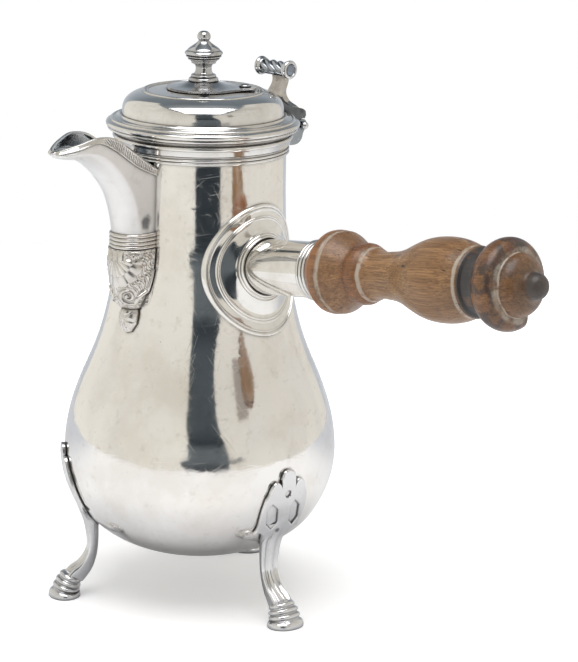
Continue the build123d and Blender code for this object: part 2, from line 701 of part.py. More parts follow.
# double wire round the crown
with BuildPart() as lid_crown_wire:
    with BuildSketch(Plane.XZ):
        with Locations((24.5, 215.35)):
            Circle(0.62)
        with Locations((23.2, 215.45)):
            Circle(0.4)
        with Locations((23.85, 215.3)):
            Rectangle(1.3, 0.5)
    revolve(axis=Axis.Z)
    add(lid_dome.part, mode=Mode.SUBTRACT)
    with BuildSketch(Plane.XZ):
        with BuildLine():
            Polyline((20.0, 214.2), (28.0, 213.6), (28.0, 217.0), (20.0, 217.0), (20.0, 214.2))
        make_face()
    revolve(axis=Axis.Z, mode=Mode.INTERSECT)
finish(lid_crown_wire, "lid_crown_wire")

# hinge leaf on the lid, with its two knuckles
with BuildPart() as hinge_leaf:
    with BuildSketch(Plane.XZ):
        with BuildLine():
            Spline((28.5, 211.0), (31.8, 209.9), (35.2, 207.9), (39.6, 206.2), (43.6, 205.2), (45.6, 204.6))
            Line((45.6, 204.6), (47.0, 203.6))
            Line((47.0, 203.6), (47.3, 201.9))
            Line((47.3, 201.9), (46.6, 200.5))
            Line((46.6, 200.5), (43.4, 200.1))
            Line((43.4, 200.1), (28.5, 200.1))
            Line((28.5, 200.1), (28.5, 211.0))
        make_face()
    extrude(amount=hinge_half, both=True)
    add(along_pin(knuckle_radius + hinge_clearance, -hinge_half - 1, hinge_half + 1), mode=Mode.SUBTRACT)
    for y0, y1 in lid_spans:
        add(along_pin(knuckle_radius, y0, y1))
        with BuildSketch(Plane.XZ.offset(-y0)):
            with BuildLine():
                Polyline((hinge_x - 1.9, hinge_z + 1.0), (hinge_x - 1.9, 201.6), (hinge_x + 1.6, 201.6), (hinge_x + 1.6, hinge_z + 1.0), close=True)
            make_face()
        extrude(amount=-(y1 - y0))
    add(along_pin(pin_radius + 0.05, -hinge_half - 1, hinge_half + 1), mode=Mode.SUBTRACT)
    # seat on the moulding and the dome
    with BuildSketch(Plane.XZ):
        with BuildLine():
            Line((0, lid_seat - 2), (33.4, lid_seat - 2))
            Line((33.4, lid_seat - 2), (33.4, 206.2))
            Spline(*lid_outside)
            Line(lid_outside[-1], (0, 216.0))
            Line((0, 216.0), (0, lid_seat - 2))
        make_face()
    revolve(axis=Axis.Z, mode=Mode.SUBTRACT)
    add(lid_moulding.part, mode=Mode.SUBTRACT)
finish(hinge_leaf, "hinge_leaf")

# thumbpiece: flared stem, beaded roll, two end discs
roll_x, roll_z = 41.2, 220.9
with BuildPart() as thumb_stem:
    with BuildSketch(Plane.XZ):
        with BuildLine():
            Spline((39.0, 203.6), (40.4, 206.6), (40.5, 209.2), (41.4, 211.9), (42.8, 214.6), (43.2, 217.0), (42.4, 219.2))
            Line((42.4, 219.2), (42.8, 222.4))
            Spline((42.8, 222.4), (44.9, 221.0), (45.6, 217.6), (45.0, 213.9), (43.6, 211.2), (43.2, 208.6), (44.6, 203.6))
            Line((44.6, 203.6), (39.0, 203.6))
        make_face()
    extrude(amount=hinge_half, both=True)
    with BuildSketch(Plane(origin=(30, 0, 0), x_dir=(0, 1, 0), z_dir=(1, 0, 0))):
        with BuildLine():
            Line((0, 203.0), (12.3, 203.0))
            Spline((12.3, 203.0), (11.4, 205.4), (8.0, 206.9), (5.2, 209.2), (3.8, 212.4), (3.7, 215.6), (4.6, 219.2), (5.8, 224.0))
            Line((5.8, 224.0), (0, 224.0))
            Line((0, 224.0), (0, 203.0))
        make_face()
        mirror(about=Plane.YZ)
    extrude(amount=20, mode=Mode.INTERSECT)
    add(hinge_leaf.part, mode=Mode.SUBTRACT)
    with BuildSketch(Plane(origin=(roll_x, -10, roll_z), x_dir=(1, 0, 0), z_dir=(0, 1, 0))):
        Circle(3.1)
    extrude(amount=20, mode=Mode.SUBTRACT)
finish(thumb_stem, "thumb_stem")

with BuildPart() as thumb_roll:
    with BuildSketch(Plane(origin=(roll_x, 0, roll_z), x_dir=(1, 0, 0), z_dir=(0, 0, 1))):
        with BuildLine():
            Line((0, -7.4), (0, 7.4))
            Line((0, 7.4), (2.6, 7.4))
            pts = [(2.6, 7.4 - 2.96 * k) for k in range(6)]
            for p, q in zip(pts[:-1], pts[1:]):
                ThreePointArc(p, (3.1, (p[1] + q[1]) / 2), q)
            Line((2.6, -7.4), (0, -7.4))
        make_face()
    revolve(axis=Axis((roll_x, 0, roll_z), (0, 1, 0)))
finish(thumb_roll, "thumb_roll")

thumb_discs = {}
for name, side in (("thumb_disc_front", -1), ("thumb_disc_back", 1)):
    with BuildPart() as disc:
        with BuildSketch(Plane(origin=(roll_x, 0, roll_z), x_dir=(1, 0, 0), z_dir=(0, 0, 1))):
            with BuildLine():
                Line((0, side * 7.4), (3.2, side * 7.4))
                Spline((3.2, side * 7.4), (3.75, side * 7.8), (3.85, side * 8.4), (3.5, side * 9.0), (2.7, side * 9.2))
                Line((2.7, side * 9.2), (2.5, side * 8.95))
                Polyline((2.5, side * 8.95), (1.9, side * 9.36), (1.1, side * 9.68), (0, side * 9.85))
                Line((0, side * 9.85), (0, side * 7.4))
            make_face()
        revolve(axis=Axis((roll_x, 0, roll_z), (0, 1, 0)))
    thumb_discs[name] = disc
    finish(disc, name)

# ------------------------------------------------- swinging finial and its rivet
pivot_axis = Axis((pivot_x, pivot_y, 0), (0, 0, 1))
pivot_plane = Plane(origin=(pivot_x, pivot_y, 0), x_dir=(1, 0, 0), z_dir=(0, -1, 0))
with BuildPart() as swivel_washer:
    with BuildSketch(Plane.XY.offset(215.0)):
        with Locations((pivot_x, pivot_y)):
            Circle(2.5)
            Circle(rivet_radius, mode=Mode.SUBTRACT)
    extrude(amount=swing_plate_bottom - 0.05 - 215.0)
    with BuildSketch(Plane.XZ):
        with BuildLine():
            Polyline((0, 210), (28, 210), (25.6, 215.25), (16.0, lid_top), (0, lid_top), (0, 210))
        make_face()
    revolve(axis=Axis.Z, mode=Mode.SUBTRACT)
finish(swivel_washer, "swivel_washer")

with BuildPart() as swivel_rivet:
    with BuildSketch(pivot_plane):
        with BuildLine():
            head = swing_plate_edge + 0.08
            Line((0, 213.3), (1.9, 213.3))
            Line((1.9, 213.3), (2.1, 213.6))
            Line((2.1, 213.6), (2.1, 214.2))
            Line((2.1, 214.2), (rivet_radius, 214.2))
            Line((rivet_radius, 214.2), (rivet_radius, head))
            Line((rivet_radius, head), (2.3, head))
            Spline((2.3, head), (2.45, head + 0.3), (2.0, head + 0.8), (1.0, head + 1.1), (0, head + 1.15))
            Line((0, head + 1.15), (0, 213.3))
        make_face()
    revolve(axis=pivot_axis)
    add(lid_dome.part, mode=Mode.SUBTRACT)
finish(swivel_rivet, "swivel_rivet")

with BuildPart() as swing_plate:
    with BuildSketch(Plane.XY.offset(swing_plate_bottom)):
        Circle(swing_plate_radius)
        with Locations((18.2 * cos(radians(pivot_angle)), 18.2 * sin(radians(pivot_angle)))):
            Circle(3.3)
        make_hull()
    extrude(amount=swing_plate_edge - swing_plate_bottom)
    with BuildSketch(Plane.XZ):
        with BuildLine():
            Line((0, swing_plate_edge), (14.2, swing_plate_edge))
            Spline((14.2, swing_plate_edge), (12.4, 217.45), (10.0, 217.85), (8.0, 218.45), (6.4, 219.2))
            Line((6.4, 219.2), (0, 219.2))
            Line((0, 219.2), (0, swing_plate_edge))
        make_face()
    revolve(axis=Axis.Z)
    with Locations((pivot_x, pivot_y, swing_plate_bottom)):
        Cylinder(rivet_radius + 0.05, 10, mode=Mode.SUBTRACT)
    with Locations((pivot_x, pivot_y, swing_plate_edge)):
        Cylinder(2.9, 5, align=(Align.CENTER, Align.CENTER, Align.MIN), mode=Mode.SUBTRACT)
finish(swing_plate, "swing_plate")

with BuildPart() as finial_stem:
    with BuildSketch(Plane.XZ):
        with BuildLine():
            Line((0, 219.2), (5.7, 219.2))
            ThreePointArc((5.7, 219.2), (6.1, 220.0), (5.6, 220.9))
            Line((5.6, 220.9), (5.0, 221.15))
            ThreePointArc((5.0, 221.15), (5.15, 221.75), (4.6, 222.25))
            Spline((4.6, 222.25), (3.75, 222.8), (3.35, 223.8), (3.25, 224.8), (3.45, 225.7), (4.1, 226.4), (5.0, 226.85))
            Line((5.0, 226.85), (0, 226.85))
            Line((0, 226.85), (0, 219.2))
        make_face()
    revolve(axis=Axis.Z)
finish(finial_stem, "finial_stem")

with BuildPart() as finial_knop:
    with BuildSketch(Plane.XZ):
        with BuildLine():
            Line((0, 226.85), (5.0, 226.85))
            Line((5.0, 226.85), (5.3, 227.4))
            ThreePointArc((5.3, 227.4), (6.2, 227.75), (6.45, 228.5))
            ThreePointArc((6.45, 228.5), (7.4, 229.15), (7.35, 230.05))
            ThreePointArc((7.35, 230.05), (7.8, 231.0), (7.3, 231.95))
            Line((7.3, 231.95), (7.0, 232.5))
            Spline((7.0, 232.5), (6.75, 233.2), (5.7, 234.2), (4.1, 235.25), (2.7, 236.0), (2.15, 236.5))
            Spline((2.15, 236.5), (2.62, 237.25), (2.7, 238.1), (2.25, 239.15), (1.2, 239.83), (0, total_height))
            Line((0, total_height), (0, 226.85))
        make_face()
    revolve(axis=Axis.Z)
finish(finial_knop, "finial_knop")
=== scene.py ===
import json
from math import sin, cos, tan, radians, degrees, pi, sqrt, hypot, atan2, exp, floor
import bpy
import bmesh
from mathutils import Vector, Matrix, noise

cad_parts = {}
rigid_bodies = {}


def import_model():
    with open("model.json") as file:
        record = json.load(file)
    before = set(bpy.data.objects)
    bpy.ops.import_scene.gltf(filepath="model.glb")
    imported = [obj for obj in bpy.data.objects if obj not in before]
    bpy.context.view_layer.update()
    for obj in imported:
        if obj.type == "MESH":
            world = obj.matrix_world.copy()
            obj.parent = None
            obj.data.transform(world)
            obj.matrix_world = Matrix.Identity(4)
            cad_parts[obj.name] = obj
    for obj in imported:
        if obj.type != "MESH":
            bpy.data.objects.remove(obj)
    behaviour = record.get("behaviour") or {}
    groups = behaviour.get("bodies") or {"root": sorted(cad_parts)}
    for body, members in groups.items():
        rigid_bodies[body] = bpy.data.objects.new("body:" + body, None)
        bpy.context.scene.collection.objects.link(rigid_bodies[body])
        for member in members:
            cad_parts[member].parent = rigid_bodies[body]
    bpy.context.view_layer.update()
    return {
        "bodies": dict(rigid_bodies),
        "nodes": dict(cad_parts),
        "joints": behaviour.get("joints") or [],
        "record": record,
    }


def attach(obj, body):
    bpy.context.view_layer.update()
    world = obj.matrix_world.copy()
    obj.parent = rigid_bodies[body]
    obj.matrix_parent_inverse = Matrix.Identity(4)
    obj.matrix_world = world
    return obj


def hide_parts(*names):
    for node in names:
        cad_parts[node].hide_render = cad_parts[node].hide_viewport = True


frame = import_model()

MM = 0.001
VIEW_AZ = radians(-43.0)
RIGHT0 = Vector((cos(VIEW_AZ), sin(VIEW_AZ), 0.0))
TOWARD = Vector((sin(VIEW_AZ), -cos(VIEW_AZ), 0.0))


# ------------------------------------------------------------------ camera
def make_camera():
    dist, height = 1.125, 0.397636
    yaw, pitch, roll = radians(1.874), radians(14.135), radians(1.029)
    fwd0 = -TOWARD
    fwd = fwd0 * cos(yaw) + RIGHT0 * sin(yaw)
    right = RIGHT0 * cos(yaw) - fwd0 * sin(yaw)
    up = Vector((0, 0, 1))
    look = fwd * cos(pitch) - up * sin(pitch)
    head = fwd * sin(pitch) + up * cos(pitch)
    side2 = right * cos(roll) + head * sin(roll)
    head2 = head * cos(roll) - right * sin(roll)
    cam = bpy.data.cameras.new("studio_camera")
    cam.lens = 150.74
    cam.sensor_width = 36.0
    cam.clip_start, cam.clip_end = 0.05, 50.0
    obj = bpy.data.objects.new("studio_camera", cam)
    bpy.context.scene.collection.objects.link(obj)
    m = Matrix((
        (side2.x, head2.x, -look.x, TOWARD.x * dist),
        (side2.y, head2.y, -look.y, TOWARD.y * dist),
        (side2.z, head2.z, -look.z, height),
        (0, 0, 0, 1)))
    obj.matrix_world = m
    bpy.context.scene.camera = obj
    return obj


# ------------------------------------------------------------ node helpers
class Graph:
    """Short way to write a node tree."""

    def __init__(self, tree):
        self.tree = tree
        self.nodes = tree.nodes
        self.links = tree.links
        self.x = 0

    def node(self, kind, **props):
        n = self.nodes.new(kind)
        n.location = (self.x, 0)
        self.x += 40
        for k, v in props.items():
            setattr(n, k, v)
        return n

    def put(self, socket, value):
        if isinstance(value, bpy.types.NodeSocket):
            self.links.new(value, socket)
        elif value is not None:
            if socket.type in ("RGBA",) and len(value) == 3:
                value = (*value, 1.0)
            socket.default_value = value

    def math(self, op, a, b=None, c=None, clamp=False):
        n = self.node("ShaderNodeMath", operation=op, use_clamp=clamp)
        self.put(n.inputs[0], a)
        if b is not None:
            self.put(n.inputs[1], b)
        if c is not None:
            self.put(n.inputs[2], c)
        return n.outputs[0]

    def vmath(self, op, a, b=None, scale=None):
        n = self.node("ShaderNodeVectorMath", operation=op)
        self.put(n.inputs[0], a)
        if b is not None:
            self.put(n.inputs[1], b)
        if scale is not None:
            self.put(n.inputs[3], scale)
        return n.outputs["Value"] if op in ("DOT_PRODUCT", "LENGTH", "DISTANCE") else n.outputs["Vector"]

    def step(self, x, lo, hi, a=0.0, b=1.0):
        """Smooth rise from a to b as x goes from lo to hi."""
        n = self.node("ShaderNodeMapRange", interpolation_type="SMOOTHSTEP")
        self.put(n.inputs["Value"], x)
        self.put(n.inputs["From Min"], lo)
        self.put(n.inputs["From Max"], hi)
        self.put(n.inputs["To Min"], a)
        self.put(n.inputs["To Max"], b)
        return n.outputs["Result"]

    def between(self, x, lo, hi, soft):
        return self.math("MULTIPLY", self.step(x, lo - soft, lo + soft), self.step(x, hi - soft, hi + soft, 1.0, 0.0))

    def above(self, x, edge, soft):
        """1 where x is above an edge that may itself vary."""
        return self.step(self.math("SUBTRACT", x, edge), -soft, soft)

    def mix(self, fac, a, b, blend="MIX"):
        n = self.node("ShaderNodeMix", data_type="RGBA", blend_type=blend)
        self.put(n.inputs[0], fac)
        self.put(n.inputs[6], a)
        self.put(n.inputs[7], b)
        return n.outputs[2]

    def noise(self, vec, scale, detail=2.0, rough=0.5, distortion=0.0, dims="3D"):
        n = self.node("ShaderNodeTexNoise", noise_dimensions=dims)
        self.put(n.inputs["Vector"], vec)
        self.put(n.inputs["Scale"], scale)
        self.put(n.inputs["Detail"], detail)
        self.put(n.inputs["Roughness"], rough)
        self.put(n.inputs["Distortion"], distortion)
        return n.outputs["Fac"]

    def voronoi(self, vec, scale, feature="F1", output="Distance", rand=1.0):
        n = self.node("ShaderNodeTexVoronoi", feature=feature)
        self.put(n.inputs["Vector"], vec)
        self.put(n.inputs["Scale"], scale)
        self.put(n.inputs["Randomness"], rand)
        return n.outputs[output]

    def ramp(self, fac, stops, interp="LINEAR"):
        n = self.node("ShaderNodeValToRGB")
        n.color_ramp.interpolation = interp
        els = n.color_ramp.elements
        while len(els) < len(stops):
            els.new(0.5)
        for e, (p, c) in zip(els, stops):
            e.position = p
            e.color = (*c, 1.0)
        self.put(n.inputs[0], fac)
        return n.outputs[0]

    def mapping(self, vec, rot=(0, 0, 0), scale=(1, 1, 1), loc=(0, 0, 0)):
        n = self.node("ShaderNodeMapping")
        self.put(n.inputs["Vector"], vec)
        n.inputs["Rotation"].default_value = rot
        n.inputs["Scale"].default_value = scale
        n.inputs["Location"].default_value = loc
        return n.outputs[0]

    def bump(self, height, strength, distance, normal=None):
        n = self.node("ShaderNodeBump")
        self.put(n.inputs["Height"], height)
        n.inputs["Strength"].default_value = strength
        n.inputs["Distance"].default_value = distance
        if normal is not None:
            self.put(n.inputs["Normal"], normal)
        return n.outputs[0]


# ------------------------------------------------------------------- studio
def make_world():
    world = bpy.data.worlds.new("studio")
    bpy.context.scene.world = world
    world.use_nodes = True
    g = Graph(world.node_tree)
    g.nodes.clear()
    out = g.node("ShaderNodeOutputWorld")
    d = g.node("ShaderNodeTexCoord").outputs["Generated"]
    sx = g.vmath("DOT_PRODUCT", d, tuple(RIGHT0))
    sy = g.vmath("DOT_PRODUCT", d, tuple(TOWARD))
    sz = g.vmath("DOT_PRODUCT", d, (0, 0, 1))
    az = g.math("MULTIPLY", g.math("ARCTAN2", sx, sy), 180 / pi)
    el = g.math("MULTIPLY", g.math("ARCSINE", sz), 180 / pi)

    # room behind the object: blue grey, darker towards the ceiling
    room = g.ramp(g.math("DIVIDE", g.math("ADD", el, 20.0), 110.0), [
        (0.0, (0.60, 0.63, 0.67)), (0.18, (0.55, 0.58, 0.62)), (0.34, (0.36, 0.40, 0.44)),
        (0.48, (0.20, 0.23, 0.255)), (0.70, (0.17, 0.195, 0.22)), (0.86, (0.38, 0.41, 0.43)), (1.0, (0.50, 0.52, 0.54))])
    # side walls, with a curved upper edge as a flat panel has
    left_top = g.math("ADD", g.math("MULTIPLY", g.math("COSINE", g.math("MULTIPLY", g.math("ADD", az, 95.0), pi / 180)), 26.0), 34.0)
    right_top = g.math("ADD", g.math("MULTIPLY", g.math("COSINE", g.math("MULTIPLY", g.math("SUBTRACT", az, 100.0), pi / 180)), 27.0), 34.0)
    in_left = g.math("MULTIPLY", g.between(az, -150.0, -10.0, 0.9), g.step(g.math("SUBTRACT", left_top, el), -1.5, 1.5))
    in_right = g.math("MULTIPLY", g.between(az, 10.0, 148.0, 0.9), g.step(g.math("SUBTRACT", right_top, el), -1.5, 1.5))
    cream = g.ramp(g.math("DIVIDE", g.math("ADD", el, 30.0), 90.0), [
        (0.0, (0.76, 0.735, 0.685)), (0.25, (0.785, 0.755, 0.695)), (0.6, (0.70, 0.67, 0.61)), (1.0, (0.55, 0.52, 0.47))])
    cream = g.mix(g.step(g.noise(d, 3.2, 3.0, 0.5), 0.42, 0.68), cream, (0.72, 0.695, 0.65))
    cream = g.mix(1.0, cream, g.mix(g.step(az, -20.0, 20.0), (1.12, 1.13, 1.13), (1.02, 1.02, 1.02)), blend="MULTIPLY")
    col = g.mix(g.math("MAXIMUM", in_left, in_right), room, cream)
    # dark gap between the walls, where the camera stands
    rise = g.step(el, 2.0, 26.0)
    flare = g.between(el, -5.0, 0.2, 1.2)
    low_edge = g.math("ADD", g.math("ADD", g.math("MULTIPLY", rise, -2.5), -9.5), g.math("MULTIPLY", flare, -6.0))
    high_edge = g.math("ADD", g.math("MULTIPLY", rise, -9.5), 24.5)
    gap = g.math("MULTIPLY", g.above(az, low_edge, 0.8), g.math("SUBTRACT", 1.0, g.above(az, high_edge, 0.8)))
    gap = g.math("MULTIPLY", gap, g.step(el, 38.0, 47.0, 1.0, 0.0))
    foot = g.math("MULTIPLY", g.between(az, 15.0, 37.0, 1.0), g.between(el, -2.0, 0.6, 0.5))
    gap = g.math("MAXIMUM", gap, g.math("MULTIPLY", foot, 0.8))
    gap_tone = g.mix(g.noise(d, 9.0, 4.0, 0.6), (0.018, 0.024, 0.031), (0.040, 0.050, 0.058))
    gap_tone = g.mix(g.step(el, 8.0, 22.0), gap_tone, (0.072, 0.086, 0.098))
    gap_tone = g.mix(g.math("MULTIPLY", g.between(el, -3.0, 9.0, 2.5), 0.85), gap_tone, (0.150, 0.172, 0.188))
    col = g.mix(gap, col, gap_tone)
    # brown upright on the right
    post = g.math("MULTIPLY", g.between(az, 36.0, 46.0, 1.6), g.math("MAXIMUM", g.between(el, 20.0, 36.0, 1.5), g.between(el, -30.0, -13.5, 1.5)))
    col = g.mix(g.math("MULTIPLY", post, 0.75), col, (0.23, 0.19, 0.165))
    # overhead light
    zz = g.math("MAXIMUM", sz, 0.02)
    px = g.math("DIVIDE", sx, zz)
    py = g.math("DIVIDE", sy, zz)
    lamp = g.math("MULTIPLY", g.between(px, -0.46, 0.46, 0.05), g.between(py, -0.10, 0.80, 0.06))
    lamp = g.math("MULTIPLY", lamp, g.step(sz, 0.1, 0.3))
    col = g.mix(lamp, col, (3.7, 3.7, 3.76))
    studio = g.node("ShaderNodeBackground")
    g.put(studio.inputs["Color"], col)
    studio.inputs["Strength"].default_value = 1.0
    plain = g.node("ShaderNodeBackground")
    plain.inputs["Color"].default_value = (1.0, 1.0, 1.0, 1.0)
    plain.inputs["Strength"].default_value = 1.0
    ray = g.node("ShaderNodeLightPath").outputs["Is Camera Ray"]
    m = g.node("ShaderNodeMixShader")
    g.links.new(ray, m.inputs[0])
    g.links.new(studio.outputs[0], m.inputs[1])
    g.links.new(plain.outputs[0], m.inputs[2])
    g.links.new(m.outputs[0], out.inputs[0])


def make_floor():
    """Pale table, lit and given a painted glow for camera rays, whose rim fades into the plain backdrop."""
    mesh = bpy.data.meshes.new("table_top")
    bm = bmesh.new()
    rings, seg = [0.0, 0.1, 0.2, 0.3, 0.4, 0.5, 0.6, 0.70], 96
    prev = None
    for r in rings:
        if r == 0:
            cur = [bm.verts.new((0, 0, 0))]
        else:
            cur = [bm.verts.new((r * cos(2 * pi * k / seg), r * sin(2 * pi * k / seg), 0)) for k in range(seg)]
        if prev is not None:
            for k in range(seg):
                k2 = (k + 1) % seg
                if len(prev) == 1:
                    bm.faces.new((prev[0], cur[k], cur[k2]))
                else:
                    bm.faces.new((prev[k], cur[k], cur[k2], prev[k2]))
        prev = cur
    bm.to_mesh(mesh)
    bm.free()
    obj = bpy.data.objects.new("table_top", mesh)
    bpy.context.scene.collection.objects.link(obj)
    mat = bpy.data.materials.new("table_paper")
    mat.use_nodes = True
    g = Graph(mat.node_tree)
    g.nodes.clear()
    out = g.node("ShaderNodeOutputMaterial")
    pos = g.node("ShaderNodeTexCoord").outputs["Object"]
    dist = g.vmath("LENGTH", pos)
    diff = g.node("ShaderNodeBsdfDiffuse")
    tone = g.noise(pos, 60.0, 4.0)
    near = g.vmath("DOT_PRODUCT", pos, tuple(TOWARD))
    seen = g.node("ShaderNodeLightPath").outputs["Is Camera Ray"]
    behind = g.math("MULTIPLY", g.step(near, -0.30, 0.02, 1.0, 0.0), g.math("SUBTRACT", 1.0, seen))
    paper = g.ramp(tone, [(0.0, (0.945, 0.945, 0.95)), (1.0, (0.96, 0.96, 0.965))])
    paper = g.mix(behind, paper, (0.60, 0.62, 0.665))
    # painted shadow: for reflected rays the floor darkens close to the pot
    painted_contact_shadow = g.math("MULTIPLY", g.step(dist, 0.03, 0.13, 1.0, 0.0), g.math("SUBTRACT", 1.0, seen))
    g.put(diff.inputs["Color"], g.mix(painted_contact_shadow, paper, (0.62, 0.63, 0.66)))
    # painted light: the floor glows for camera rays to lift its shadow, a little less near the pot
    glow = g.node("ShaderNodeEmission")
    glow.inputs["Color"].default_value = (1.0, 1.0, 1.0, 1.0)
    g.put(glow.inputs["Strength"], g.math("MULTIPLY", g.step(dist, 0.05, 0.24, FLOOR_GLOW[0], FLOOR_GLOW[1]), seen))
    both = g.node("ShaderNodeAddShader")
    g.links.new(diff.outputs[0], both.inputs[0])
    g.links.new(glow.outputs[0], both.inputs[1])
    clear = g.node("ShaderNodeBsdfTransparent")
    m = g.node("ShaderNodeMixShader")
    g.put(m.inputs[0], g.step(dist, 0.66, 0.69))
    g.links.new(both.outputs[0], m.inputs[1])
    g.links.new(clear.outputs[0], m.inputs[2])
    g.links.new(m.outputs[0], out.inputs[0])
    mesh.materials.append(mat)
    return obj


SMUDGE = [((-0.0385, -0.0082, 0.1670), 0.0036, 0.006)]
# painted light: strength of the floor's glow near the pot and far from it
FLOOR_GLOW = (0.25, 0.36)


# ---------------------------------------------------------------- materials
def new_material(name):
    mat = bpy.data.materials.new(name)
    mat.use_nodes = True
    g = Graph(mat.node_tree)
    g.nodes.clear()
    out = g.node("ShaderNodeOutputMaterial")
    bsdf = g.node("ShaderNodeBsdfPrincipled")
    g.links.new(bsdf.outputs[0], out.inputs[0])
    return mat, g, bsdf


def silver(name, light=(0.90, 0.885, 0.86), dark=(0.82, 0.79, 0.75), rough=0.075, wave=1.0, dirt_and_shade=0.6, dirt_and_shade_reach=0.0012,
           scratch=1.0, grit=0.0, stain_tone=(0.62, 0.58, 0.53), stain_amount=0.25, dirt_and_shade_tone=(0.075, 0.066, 0.062), smudge=None,
           dent=0.0, wrap=False):
    """Old polished silver: slow dents, hairline scratches, faint stains, and recesses darkened by tarnish and painted
    shade.
    """
    mat, g, bsdf = new_material(name)
    pos = g.node("ShaderNodeTexCoord").outputs["Object"]
    bsdf.inputs["Metallic"].default_value = 1.0
    stain = g.noise(pos, 38.0, 6.0, 0.62)
    cloud = g.noise(pos, 210.0, 4.0, 0.6)
    base = g.mix(g.step(stain, 0.42, 0.66), light, dark)
    base = g.mix(g.math("MULTIPLY", g.step(cloud, 0.56, 0.74), stain_amount), base, stain_tone)
    # small dark specks where polish has caught
    speck = g.step(g.voronoi(pos, 620.0), 0.10, 0.24, 1.0, 0.0)
    speck = g.math("MULTIPLY", speck, g.step(g.noise(pos, 95.0, 3.0, 0.6), 0.60, 0.72))
    base = g.mix(g.math("MULTIPLY", speck, 0.45), base, (0.30, 0.27, 0.25))
    # darker in creases and at joints by ambient occlusion: tarnish, and painted shade
    ao = g.node("ShaderNodeAmbientOcclusion", samples=6, only_local=False)
    ao.inputs["Distance"].default_value = dirt_and_shade_reach
    tarnish_and_shade = g.step(ao.outputs["AO"], 0.36, 0.95, 1.0, 0.0)
    base = g.mix(g.math("MULTIPLY", tarnish_and_shade, dirt_and_shade), base, dirt_and_shade_tone)
    for place, size, ragged in smudge or ():
        gap = g.vmath("DISTANCE", pos, place)
        gap = g.math("ADD", gap, g.math("MULTIPLY", g.math("SUBTRACT", cloud, 0.5), ragged))
        base = g.mix(g.step(gap, size * 0.3, size, 0.8, 0.0), base, (0.10, 0.105, 0.12))
    g.put(bsdf.inputs["Base Color"], base)
    # hairlines in four directions
    lines = None
    flat = pos
    ways = [((0.2, 0.5, 0.9), (2600, 60, 2600)), ((1.1, 0.3, -0.5), (60, 3100, 2800)),
            ((0.6, -0.8, 0.3), (2400, 2500, 70)), ((-0.5, 0.9, 0.2), (1300, 1400, 22))]
    if wrap:
        # unrolled about the upright axis, so that every hairline lies in the face
        part = g.node("ShaderNodeSeparateXYZ")
        g.put(part.inputs[0], pos)
        join = g.node("ShaderNodeCombineXYZ")
        g.put(join.inputs[0], g.math("MULTIPLY", g.math("ARCTAN2", part.outputs[1], part.outputs[0]), 0.045))
        g.put(join.inputs[1], part.outputs[2])
        flat = join.outputs[0]
        ways = [((0, 0, 0.35), (3000, 75, 1)), ((0, 0, -0.55), (3400, 90, 1)), ((0, 0, 1.45), (2800, 60, 1)),
                ((0, 0, 0.95), (3200, 65, 1)), ((0, 0, -1.25), (2600, 110, 1))]
    for k, (rot, sc) in enumerate(ways):
        v = g.mapping(g.mapping(flat, rot=rot), scale=sc, loc=(0.0, 0.0, 7.3 * k))
        n = g.step(g.noise(v, 1.0, 1.0, 0.4), 0.66, 0.80)
        lines = n if lines is None else g.math("ADD", lines, n)
    r = g.math("ADD", g.math("MULTIPLY", stain, 0.07), rough - 0.03)
    r = g.math("ADD", r, g.math("MULTIPLY", tarnish_and_shade, 0.25))
    r = g.math("ADD", r, g.math("MULTIPLY", speck, 0.03))
    r = g.math("ADD", r, g.math("MULTIPLY", lines, 0.06 * scratch))
    g.put(bsdf.inputs["Roughness"], r)
    slow = g.noise(pos, 42.0, 2.0, 0.45)
    mid = g.noise(pos, 150.0, 2.0, 0.5)
    n1 = g.bump(slow, 1.0, 0.00016 * wave)
    n2 = g.bump(mid, 1.0, 0.000016 * wave, n1)
    n3 = g.bump(lines, 0.5 * scratch, 0.000008, n2)
    if dent:
        n3 = g.bump(g.noise(pos, 250.0, 2.0, 0.5), 1.0, 0.00045 * dent, n3)
    if grit:
        fine = g.noise(pos, 900.0, 3.0, 0.6)
        n3 = g.bump(fine, 1.0, 0.00003 * grit, n3)
    g.links.new(n3, bsdf.inputs["Normal"])
    return mat


